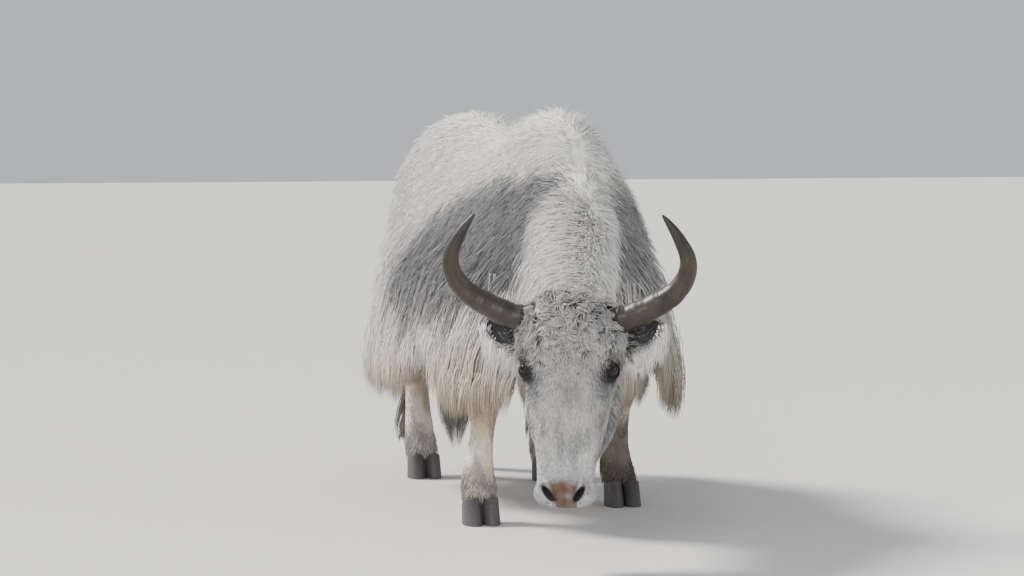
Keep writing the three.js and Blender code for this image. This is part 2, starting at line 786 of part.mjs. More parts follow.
const yak = new THREE.Group();
for (const { name, colour, solid: form } of parts) {
  const { vertProperties, triVerts } = largest(form).getMesh();
  const geometry = new THREE.BufferGeometry()
    .setAttribute("position", new THREE.BufferAttribute(new Float32Array(vertProperties), 3))
    .setIndex(new THREE.BufferAttribute(new Uint32Array(triVerts), 1));
  geometry.computeVertexNormals();
  const mesh = new THREE.Mesh(geometry, new THREE.MeshStandardMaterial(COLOURS[colour]));
  mesh.name = name;
  yak.add(mesh);
}

// The origin is on the floor, under the middle of the whole animal
const bounds = new THREE.Box3().setFromObject(yak);
const middle = bounds.getCenter(new THREE.Vector3());
yak.position.set(-middle.x, -middle.y, -bounds.min.z);

export default yak;
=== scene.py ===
"""Looks of a grazing white and grey yak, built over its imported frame.

Sizes are in millimetres in the animal's own frame, as in the part's source: X to its left, -Y the way the trunk
faces, Z up, and the floor under the hump as origin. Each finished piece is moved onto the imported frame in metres.
"""

import logging
import math
from dataclasses import dataclass, field
from enum import Enum

import bmesh
import bpy
import numpy as np
from mathutils import Matrix, Vector, kdtree, noise


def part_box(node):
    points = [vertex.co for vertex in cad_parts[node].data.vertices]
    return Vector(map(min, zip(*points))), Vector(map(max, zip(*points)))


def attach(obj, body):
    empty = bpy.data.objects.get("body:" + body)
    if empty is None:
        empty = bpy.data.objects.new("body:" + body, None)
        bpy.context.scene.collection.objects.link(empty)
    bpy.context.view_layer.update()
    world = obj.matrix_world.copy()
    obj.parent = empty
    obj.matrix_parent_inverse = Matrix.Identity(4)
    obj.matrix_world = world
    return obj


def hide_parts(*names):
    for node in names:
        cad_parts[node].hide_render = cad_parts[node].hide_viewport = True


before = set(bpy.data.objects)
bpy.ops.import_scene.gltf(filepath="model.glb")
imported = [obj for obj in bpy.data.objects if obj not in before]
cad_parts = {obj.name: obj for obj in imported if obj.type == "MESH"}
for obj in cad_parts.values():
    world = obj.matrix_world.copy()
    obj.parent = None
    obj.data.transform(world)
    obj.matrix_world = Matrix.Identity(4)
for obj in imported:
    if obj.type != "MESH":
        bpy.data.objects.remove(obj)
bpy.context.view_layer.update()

logging.basicConfig(level=logging.INFO, format="%(message)s")
LOG = logging.getLogger("yak")

Array = np.ndarray
MM = 0.001
SEED = 20260
ROOT_BODY = "root"


class Side(Enum):
    """The two sides of the animal, with the sign of X on each."""

    RIGHT = -1
    LEFT = 1


# ---------------------------------------------------------------- shared shape tools


def along(table: Array, place: Array) -> Array:
    """Reads a table of sizes on a smooth curve through its rows.

    Args:
        table: rows of a place followed by sizes.
        place: where to read, of any shape.

    Returns:
        The sizes, in a last axis of their own.
    """
    at = np.clip(np.asarray(place, float), table[0, 0], table[-1, 0])
    i = np.clip(np.searchsorted(table[:, 0], at, side="right") - 1, 0, len(table) - 2)
    low = np.maximum(np.arange(len(table)) - 1, 0)
    high = np.minimum(np.arange(len(table)) + 1, len(table) - 1)
    slope = (table[high, 1:] - table[low, 1:]) / (table[high, 0] - table[low, 0])[:, None]
    span = (table[i + 1, 0] - table[i, 0])[..., None]
    s = (at - table[i, 0])[..., None] / span
    first, second = table[i, 1:], table[i + 1, 1:]
    bend = slope[i] * span * s * (1 - s) ** 2 - slope[i + 1] * span * s * s * (1 - s)
    return first * (1 + 2 * s) * (1 - s) ** 2 + second * s * s * (3 - 2 * s) + bend


def dome(place: Array, start: float, end: float, first: float, final: float) -> Array:
    """The share of a section's size where a form closes in a dome at both ends."""
    a = np.clip((np.asarray(place, float) - start) / first, 0, 1)
    b = np.clip((end - np.asarray(place, float)) / final, 0, 1)
    return np.sqrt(1 - (1 - a) ** 2) * np.sqrt(1 - (1 - b) ** 2)


def power(x: Array, n: float | Array) -> Array:
    """A signed power, which makes a circle's sine and cosine a rounded square's."""
    return np.sign(x) * np.abs(x) ** n


def smooth(edge0: float, edge1: float, x: Array) -> Array:
    """A soft step from 0 at one edge to 1 at the other."""
    t = np.clip((np.asarray(x, float) - edge0) / (edge1 - edge0), 0, 1)
    return t * t * (3 - 2 * t)


def unit(v: Array) -> Array:
    """Vectors at length one."""
    return v / np.maximum(np.linalg.norm(v, axis=-1, keepdims=True), 1e-9)


def cloud(points: Array, size: float, seed: float = 0.0, depth: int = 3) -> Array:
    """Soft noise from -1 to 1 at points in millimetres, with features of a size in millimetres."""
    shift = Vector((seed, seed * 0.7, -seed))
    return np.array([noise.fractal(Vector(p) / size + shift, 1.0, 2.0, depth) for p in points])


class Line:
    """A centripetal spline through points, as limbs, horns and the tail follow."""

    def __init__(self, points: list[list[float]]) -> None:
        """Keeps the points, with one more beyond each end."""
        p = np.array(points, float)
        self.points = np.vstack([2 * p[0] - p[1], p, 2 * p[-1] - p[-2]])
        self.count = len(p) - 1

    def at(self, t: Array) -> Array:
        """Points on the line, for t from 0 to 1."""
        along_line = np.clip(np.asarray(t, float), 0, 1) * self.count
        i = np.minimum(along_line.astype(int), self.count - 1)
        w = (along_line - i)[..., None]
        p = [self.points[i + k] for k in range(4)]
        gaps = [np.sqrt(np.linalg.norm(p[k + 1] - p[k], axis=-1, keepdims=True)) for k in range(3)]
        gaps = [np.maximum(g, 1e-6) for g in gaps]
        start = (p[1] - p[0]) / gaps[0] - (p[2] - p[0]) / (gaps[0] + gaps[1]) + (p[2] - p[1]) / gaps[1]
        stop = (p[2] - p[1]) / gaps[1] - (p[3] - p[1]) / (gaps[1] + gaps[2]) + (p[3] - p[2]) / gaps[2]
        start, stop = start * gaps[1], stop * gaps[1]
        c2 = -3 * p[1] + 3 * p[2] - 2 * start - stop
        c3 = 2 * p[1] - 2 * p[2] + start + stop
        return p[1] + start * w + c2 * w**2 + c3 * w**3

    def tangent(self, t: Array) -> Array:
        """The line's direction."""
        t = np.asarray(t, float)
        return unit(self.at(np.minimum(t + 1e-3, 1)) - self.at(np.maximum(t - 1e-3, 0)))

    def frame(self, t: Array, side: list[float]) -> tuple[Array, Array]:
        """The directions to the front of and across the line."""
        tangent = self.tangent(t)
        front = unit(np.cross(tangent, np.array(side, float)))
        return front, unit(np.cross(front, tangent))


def closed_form(rows: int, columns: int, place) -> bmesh.types.BMesh:
    """A ball whose points are moved to a form's surface.

    Args:
        rows: rings from pole to pole.
        columns: points round a ring.
        place: gives the points for arrays of t (0 to 1 between the poles) and turn.

    Returns:
        The form, facing outwards.
    """
    bm = bmesh.new()
    bmesh.ops.create_uvsphere(bm, u_segments=columns, v_segments=rows, radius=1)
    co = np.array([v.co for v in bm.verts])
    t = np.arccos(np.clip(co[:, 2], -1, 1)) / math.pi
    t = np.round(t * rows) / rows
    turn = np.where(np.hypot(co[:, 0], co[:, 1]) < 1e-6, 0, np.arctan2(co[:, 0], co[:, 1]))
    for vert, p in zip(bm.verts, place(t, turn)):
        vert.co = p
    bmesh.ops.recalc_face_normals(bm, faces=bm.faces)
    return bm


def ellipsoid(centre: list[float], radii: list[float], columns: int = 24, rows: int = 16) -> bmesh.types.BMesh:
    """A closed ellipsoid."""
    bm = bmesh.new()
    bmesh.ops.create_uvsphere(bm, u_segments=columns, v_segments=rows, radius=1)
    bmesh.ops.scale(bm, vec=Vector(radii), verts=bm.verts)
    bmesh.ops.translate(bm, vec=Vector(centre), verts=bm.verts)
    return bm


def limb_form(
    line: Line,
    sizes: Array,
    rows: int,
    columns: int,
    inset: float = 0.0,
    side: list[float] | None = None,
    ends: tuple[float, float] = (0.04, 0.04),
    round_by: float = 2.2,
) -> bmesh.types.BMesh:
    """A limb along a line.

    Args:
        line: the line it follows.
        sizes: rows of t, half width, reach before and reach behind.
        rows: rings along it.
        columns: points round it.
        inset: how far inside these sizes the form stays.
        side: the direction its front is square to.
        ends: the share of its length that each domed end takes.
        round_by: 2 for an oval section, more for a squarer one.

    Returns:
        The closed limb.
    """

    def place(t: Array, turn: Array) -> Array:
        """A limb's surface."""
        front, across = line.frame(t, side or [1, 0, 0])
        size = along(sizes, t) - inset
        half, before, behind = size[:, 0], size[:, 1 % size.shape[1]], size[:, -1]
        if size.shape[1] == 1:
            before = behind = half
        shrink = dome(t, 0, 1, *ends)
        reach = np.where(np.cos(turn) > 0, before, behind)
        wide = (half * shrink * power(np.sin(turn), 2 / round_by))[:, None]
        deep = (reach * shrink * power(np.cos(turn), 2 / round_by))[:, None]
        return line.at(t) + across * wide + front * deep

    return closed_form(rows, columns, place)


def gather(forms: list[bmesh.types.BMesh]) -> bmesh.types.BMesh:
    """Several forms in one, unjoined."""
    whole = bmesh.new()
    for form in forms:
        mesh = bpy.data.meshes.new("form")
        form.to_mesh(mesh)
        form.free()
        whole.from_mesh(mesh)
        bpy.data.meshes.remove(mesh)
    return whole


def turned(form: bmesh.types.BMesh, matrix: Matrix) -> bmesh.types.BMesh:
    """A form moved and turned by a matrix."""
    bmesh.ops.transform(form, matrix=matrix, verts=form.verts)
    return form


def as_object(name: str, form: bmesh.types.BMesh) -> bpy.types.Object:
    """An object from a form, in millimetres still."""
    mesh = bpy.data.meshes.new(name)
    form.to_mesh(mesh)
    form.free()
    made = bpy.data.objects.new(name, mesh)
    bpy.context.scene.collection.objects.link(made)
    return made


def settle(made: bpy.types.Object) -> None:
    """Applies an object's modifiers to its mesh."""
    graph = bpy.context.evaluated_depsgraph_get()
    mesh = bpy.data.meshes.new_from_object(made.evaluated_get(graph))
    made.modifiers.clear()
    old, made.data = made.data, mesh
    bpy.data.meshes.remove(old)


def melted(name: str, forms: list[bmesh.types.BMesh], voxel: float, passes: int) -> bpy.types.Object:
    """Forms melted into one smooth closed surface."""
    made = as_object(name, gather(forms))
    remesh = made.modifiers.new("melt", "REMESH")
    remesh.mode = "VOXEL"
    remesh.voxel_size = voxel
    calm = made.modifiers.new("calm", "SMOOTH")
    calm.factor = 0.5
    calm.iterations = passes
    settle(made)
    return made


def combine(made: bpy.types.Object, form: bmesh.types.BMesh, operation: str) -> None:
    """Joins a form to an object, or cuts it out."""
    tool = as_object("tool", form)
    step = made.modifiers.new("combine", "BOOLEAN")
    step.operation = operation
    step.solver = "MANIFOLD"
    step.object = tool
    settle(made)
    mesh = tool.data
    bpy.data.objects.remove(tool)
    bpy.data.meshes.remove(mesh)


# ---------------------------------------------------------------- the animal's named sizes

HUMP_TOP = 1220.0


@dataclass
class Trunk:
    """The chest, hump, belly and rump as one form."""

    table: Array = field(
        default_factory=lambda: np.array(
            [
                [-330, 0.7 * HUMP_TOP, 690, 545, 150, 2.0],
                [-240, 0.82 * HUMP_TOP, 650, 490, 215, 1.95],
                [-120, 0.93 * HUMP_TOP, 600, 455, 272, 1.8],
                [-20, 0.985 * HUMP_TOP, 560, 440, 310, 1.7],
                [70, HUMP_TOP, 545, 436, 324, 1.68],
                [200, 0.985 * HUMP_TOP, 545, 434, 335, 1.7],
                [350, 0.95 * HUMP_TOP, 560, 434, 345, 1.85],
                [500, 0.93 * HUMP_TOP, 575, 434, 350, 2.0],
                [650, 0.94 * HUMP_TOP, 590, 440, 350, 2.1],
                [800, 0.97 * HUMP_TOP, 610, 460, 346, 2.25],
                [950, 0.997 * HUMP_TOP, 630, 500, 338, 2.35],
                [1060, 0.99 * HUMP_TOP, 650, 545, 320, 2.35],
                [1150, 0.945 * HUMP_TOP, 690, 600, 282, 2.2],
                [1225, 0.84 * HUMP_TOP, 740, 680, 212, 2.0],
            ],
            float,
        )
    )
    front: float = -345
    rear: float = 1230
    chest_dome: float = 170
    buttock_dome: float = 130
    belly_round: float = 2.3
    coat: float = 30
    skirt_top: float = 705
    skirt_end: float = 292
    skirt_flare: float = 32
    coat_lie: float = 14
    rise_middle: float = 290
    rise_reach: float = 170
    rise_height: float = 150

    def size(self, y: Array, inset: float = 0.0) -> Array:
        """How full a section is, where the chest and buttocks close."""
        return dome(y, self.front + inset, self.rear - inset, self.chest_dome, self.buttock_dome)

    def half(self, y: Array, z: Array) -> Array:
        """The half width at places along the trunk and heights."""
        top, wide, belly, half, peak = np.moveaxis(along(self.table, y), -1, 0)
        size = np.maximum(self.size(y), 0.05)
        middle = (top + belly) / 2
        level = middle + (z - middle) / size
        up = level > wide
        share = np.where(up, (level - wide) / (top - wide), (wide - level) / (wide - belly))
        power_of = np.where(up, peak, self.belly_round)
        return half * size * (1 - np.clip(share, 0, 1) ** power_of) ** (1 / power_of)

    def hem(self, y: Array) -> Array:
        """How low the long hair reaches: higher between the legs."""
        rise = self.rise_height * np.exp(-(((y - self.rise_middle) / self.rise_reach) ** 2))
        return self.skirt_end + rise

    def hang(self, y: Array, z: Array) -> Array:
        """How far out the long hair hangs."""
        wide = along(self.table, y)[..., 1]
        fall = np.clip((self.skirt_top - 60 - z) / 260, 0, 1)
        return self.half(y, np.maximum(z, wide)) + self.coat_lie + self.skirt_flare * fall**1.2

    def form(self) -> bmesh.types.BMesh:
        """The trunk's skin, inside the coat's depth."""
        inset = self.coat

        def place(t: Array, turn: Array) -> Array:
            """The trunk's surface."""
            ease = (1 - np.cos(np.pi * t)) / 2
            y = (self.front + inset) + (self.rear - self.front - 2 * inset) * (0.65 * t + 0.35 * ease)
            top, wide, belly, half, peak = np.moveaxis(along(self.table, y), -1, 0)
            top, belly, half = top - inset, belly + 0.5 * inset, half - inset
            size = self.size(y, inset)
            up = np.cos(turn) > 0
            power_of = np.where(up, peak, self.belly_round)
            z = wide + np.where(up, top - wide, wide - belly) * power(np.cos(turn), 2 / power_of)
            middle = (top + belly) / 2
            x = half * size * power(np.sin(turn), 2 / power_of)
            return np.stack([x, y, middle + (z - middle) * size], axis=-1)

        return closed_form(48, 56, place)


@dataclass
class Neck:
    """The neck, from inside the chest to the nape."""

    line: Line = field(
        default_factory=lambda: Line([[-20, -40, 850], [-85, -330, 775], [-160, -620, 680], [-213, -825, 590]])
    )
    sizes: Array = field(
        default_factory=lambda: np.array(
            [[0, 190, 250, 275], [0.35, 145, 205, 240], [0.7, 110, 165, 195], [1, 96, 140, 150]], float
        )
    )
    coat: float = 26

    def form(self) -> bmesh.types.BMesh:
        """The neck's skin."""
        return limb_form(self.line, self.sizes, 24, 32, self.coat, ends=(0.05, 0.12))


@dataclass
class Legs:
    """The four legs' lines and sizes."""

    lines: dict[str, list[list[float]]] = field(
        default_factory=lambda: {
            "fore_right": [[-190, 10, 780], [-216, 80, 590], [-250, -10, 335], [-273, -36, 140], [-281, -80, 56]],
            "fore_left": [[185, 30, 780], [203, 150, 590], [222, 175, 335], [236, 246, 140], [240, 202, 56]],
            "hind_right": [[-160, 950, 890], [-212, 870, 640], [-180, 1125, 415], [-176, 1086, 140], [-175, 1042, 56]],
            "hind_left": [[160, 930, 890], [212, 810, 640], [192, 990, 415], [200, 911, 140], [200, 866, 56]],
        }
    )
    fore: Array = field(
        default_factory=lambda: np.array(
            [[0, 100, 130, 130], [0.25, 80, 100, 98], [0.5, 49, 52, 50], [0.62, 43, 42, 42], [0.76, 54, 50, 55],
             [1, 52, 50, 46]], float
        )
    )
    hind: Array = field(
        default_factory=lambda: np.array(
            [[0, 130, 170, 190], [0.25, 104, 120, 220], [0.4, 72, 82, 120], [0.5, 53, 52, 66], [0.62, 47, 46, 46],
             [0.76, 55, 50, 54], [1, 52, 50, 46]], float
        )
    )
    coat: float = 7

    def sizes(self, name: str) -> Array:
        """A leg's sizes."""
        return self.fore if name.startswith("fore") else self.hind

    def forms(self) -> list[bmesh.types.BMesh]:
        """The legs' skins."""
        return [
            limb_form(Line(points), self.sizes(name), 40, 20, self.coat, ends=(0.08, 0.03))
            for name, points in self.lines.items()
        ]


@dataclass
class Tail:
    """The dock, with the hair that hangs from it."""

    line: Line = field(
        default_factory=lambda: Line(
            [[0, 1170, 1040], [0, 1256, 960], [0, 1292, 760], [0, 1296, 520], [0, 1288, 330]]
        )
    )
    sizes: Array = field(
        default_factory=lambda: np.array([[0, 30, 30, 30], [0.3, 20, 18, 18], [0.7, 14, 12, 12], [1, 6, 6, 6]], float)
    )
    foot: float = 62

    def form(self) -> bmesh.types.BMesh:
        """The dock's skin."""
        return limb_form(self.line, self.sizes, 24, 16, 0)


@dataclass
class Head:
    """The head, modelled face on: X to its left, Y out of the forehead, Z down the face."""

    at: tuple[float, float, float] = (-266, -943, 713)
    turn: float = 24.5
    tilt: float = 14
    face: Array = field(
        default_factory=lambda: np.array(
            [
                [-24, 104, 0, -120], [30, 124, 16, -160], [100, 134, 24, -186], [180, 130, 20, -200],
                [260, 117, 9, -182], [340, 100, 3, -150], [420, 86, -1, -118], [480, 82, -5, -98],
                [520, 86, -22, -94], [550, 80, -50, -92],
            ],
            float,
        )
    )
    jaw: Array = field(
        default_factory=lambda: np.array(
            [[150, 100, -110, -212], [230, 121, -100, -214], [330, 113, -84, -182], [390, 90, -82, -156],
             [440, 64, -84, -142], [490, 50, -84, -134], [530, 44, -86, -126]], float
        )
    )
    eye: tuple[float, float, float] = (108, -34, 188)
    eye_radius: float = 23
    coat: float = 7
    ear_root: tuple[float, float, float] = (118, -78, 130)

    @property
    def matrix(self) -> Matrix:
        """From the head's own frame to the animal's."""
        spin = Matrix.Rotation(math.radians(-self.turn), 4, "Z") @ Matrix.Rotation(math.radians(180 - self.tilt), 4, "X")
        return Matrix.Translation(Vector(self.at)) @ spin

    def into(self, points: Array) -> Array:
        """Points of the animal in the head's own frame."""
        m = np.array(self.matrix.inverted())
        return points @ m[:3, :3].T + m[:3, 3]

    def out(self, points: Array) -> Array:
        """Points of the head in the animal's frame."""
        m = np.array(self.matrix)
        return np.asarray(points, float) @ m[:3, :3].T + m[:3, 3]

    def out_way(self, ways: Array) -> Array:
        """Directions of the head in the animal's frame."""
        return np.asarray(ways, float) @ np.array(self.matrix)[:3, :3].T

    def skull(self, table: Array, start: float, end: float, rounds: tuple[float, float], ends: tuple[float, float],
              inset: float) -> bmesh.types.BMesh:
        """A skin over a table of the head's sections."""

        def place(t: Array, turn: Array) -> Array:
            """The surface over the sections."""
            ease = (1 - np.cos(np.pi * t)) / 2
            down = (start + inset) + (end - start - 2 * inset) * (0.5 * t + 0.5 * ease)
            half, high, low = np.moveaxis(along(table, down), -1, 0)
            half, high, low = half - inset, high - inset, low + inset
            size = dome(down, start + inset, end - inset, *ends)
            up = np.cos(turn) > 0
            power_of = np.where(up, rounds[0], rounds[1])
            middle = high + 0.42 * (low - high)
            reach = np.where(up, high - middle, middle - low)
            x = half * size * power(np.sin(turn), 2 / power_of)
            y = middle + reach * size * power(np.cos(turn), 2 / power_of)
            return np.stack([x, y, down], axis=-1)

        return closed_form(44, 48, place)

    def gaze(self, s: int) -> tuple[Vector, Vector, Vector]:
        """An eye's directions: ahead, towards its outer corner, and across its lids."""
        ahead = Vector((s * 0.78, 0.62, 0.06)).normalized()
        outer = Vector((s * 0.42, -0.5, -0.68))
        outer = (outer - ahead * outer.dot(ahead)).normalized()
        return ahead, outer, ahead.cross(outer)

    def from_eye(self, h: Array) -> Array:
        """The distance from the middle of the nearer eye's opening, shortened along the eye."""
        found = np.full(len(h), 1e3)
        for s in (-1, 1):
            ahead, outer, across = (np.array(v) for v in self.gaze(s))
            x, y, z = self.eye
            d = h - (np.array([s * x, y, z]) + ahead * self.eye_radius)
            parts = np.stack([d @ ahead, d @ outer / 1.5, d @ across], axis=1)
            found = np.minimum(found, np.linalg.norm(parts, axis=1))
        return found

    def ear_matrix(self, s: int) -> Matrix:
        """From an ear's own frame, with Z along it, to the head's."""
        spin = Matrix.Rotation(s * 2.18, 4, "Y") @ Matrix.Rotation(0.15, 4, "X") @ Matrix.Rotation(s * -0.35, 4, "Z")
        x, y, z = self.ear_root
        return Matrix.Translation(Vector((s * x, y, z))) @ spin

    def muzzle(self) -> list[bmesh.types.BMesh]:
        """The lips, chin and nostril wings."""
        pads = [
            ellipsoid([0, -70, 518], [52, 30, 30]),
            ellipsoid([0, -66, 528], [70, 22, 20]),
            ellipsoid([0, -112, 500], [42, 22, 34]),
        ]
        for s in (-1, 1):
            pads.append(ellipsoid([s * 54, -46, 510], [28, 32, 32]))
            pads.append(ellipsoid([s * 54, -78, 500], [30, 26, 34]))
            rim = Matrix.Translation((s * 44, -22, 510)) @ Matrix.Rotation(0.58, 4, "X")
            pads.append(turned(ellipsoid([0, 0, 0], [19, 13, 34]), rim @ Matrix.Rotation(s * -0.55, 4, "Y")))
        return pads

    def forms(self) -> list[bmesh.types.BMesh]:
        """The head and ears, in the head's frame."""
        inset = self.coat
        forms = [
            self.skull(self.face, -24, 550, (2.7, 2.0), (60, 44), inset),
            self.skull(self.jaw, 120, 532, (2.2, 2.2), (90, 30), inset * 0.5),
            *self.muzzle(),
        ]
        for s in (-1, 1):
            x, y, z = self.eye
            forms.append(ellipsoid([s * x * 0.93, y, z - 2], [31, 28, 38]))
            forms.append(turned(ellipsoid([0, 0, 0], [15, 13, 46]), Matrix.Translation((s * 106, y + 22, z - 26))
                         @ Matrix.Rotation(s * 0.2, 4, "Y")))
            forms.append(turned(ellipsoid([0, 0, 0], [14, 20, 120]), Matrix.Translation((s * 88, -78, 300))
                         @ Matrix.Rotation(s * -0.16, 4, "Y")))
            ear = self.ear_matrix(s)
            forms.append(turned(ellipsoid([0, 0, 74], [44, 22, 71]), ear))
            forms.append(turned(ellipsoid([0, -4, 8], [25, 21, 34]), ear))
        return forms

    def hollows(self) -> bmesh.types.BMesh:
        """What is cut out: eye sockets, nostrils, the mouth's line and the ears' cups."""
        cuts = []
        for s in (-1, 1):
            x, y, z = self.eye
            r = self.eye_radius + 0.6
            cuts.append(ellipsoid([s * x, y, z], [r, r, r]))
            ahead, outer, across = self.gaze(s)
            look = Matrix((outer, across, ahead)).transposed().to_4x4()
            look.translation = Vector((s * x, y, z)) + ahead * (r - 2)
            cuts.append(turned(ellipsoid([0, 0, 0], [27, 19, 19]), look))
            nostril = Matrix.Translation((s * 40, -22, 514)) @ Matrix.Rotation(0.58, 4, "X")
            cuts.append(turned(ellipsoid([0, 0, 0], [9.5, 24, 28]), nostril @ Matrix.Rotation(s * -0.55, 4, "Y")))
            cuts.append(turned(ellipsoid([0, 17, 80], [36, 26, 61]), self.ear_matrix(s)))
            cuts.append(turned(ellipsoid([0, 0, 0], [12, 3.4, 46]), Matrix.Translation((s * 60, -92, 500))
                         @ Matrix.Rotation(s * 0.35, 4, "Y")))
        cuts.append(ellipsoid([0, -91, 545], [66, 3.4, 30]))
        return gather(cuts)


@dataclass
class Yak:
    """All the parts' named sizes together."""

    trunk: Trunk = field(default_factory=Trunk)
    neck: Neck = field(default_factory=Neck)
    legs: Legs = field(default_factory=Legs)
    tail: Tail = field(default_factory=Tail)
    head: Head = field(default_factory=Head)

    def origin(self) -> Vector:
        """Where the animal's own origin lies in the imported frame, read from one claw.

        Returns:
            The shift in metres.
        """
        low, high = (Vector(corner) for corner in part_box("hoof_fore_right_outer"))
        x, y, _ = self.legs.lines["fore_right"][4]
        return Vector((high.x - (x - Hooves.cleft / 2) * MM, low.y - (y - 16 - Hooves.length / 2) * MM, 0))


# ---------------------------------------------------------------- markings


@dataclass(frozen=True)
class Shade:
    """A hair colour, in linear red, green and blue."""

    rgb: tuple[float, float, float]

    def array(self) -> Array:
        """The colour as an array."""
        return np.array(self.rgb)


@dataclass(frozen=True)
class CoatColours:
    """The coat's colours."""

    white: Shade = Shade((0.80, 0.785, 0.75))
    cream: Shade = Shade((0.66, 0.55, 0.40))
    grey: Shade = Shade((0.125, 0.125, 0.14))
    dark: Shade = Shade((0.055, 0.052, 0.055))
    tan: Shade = Shade((0.36, 0.22, 0.10))
    umber: Shade = Shade((0.10, 0.075, 0.055))
    nose: Shade = Shade((0.115, 0.056, 0.031))
    rim: Shade = Shade((0.016, 0.014, 0.014))
    muzzle: Shade = Shade((0.40, 0.40, 0.42))


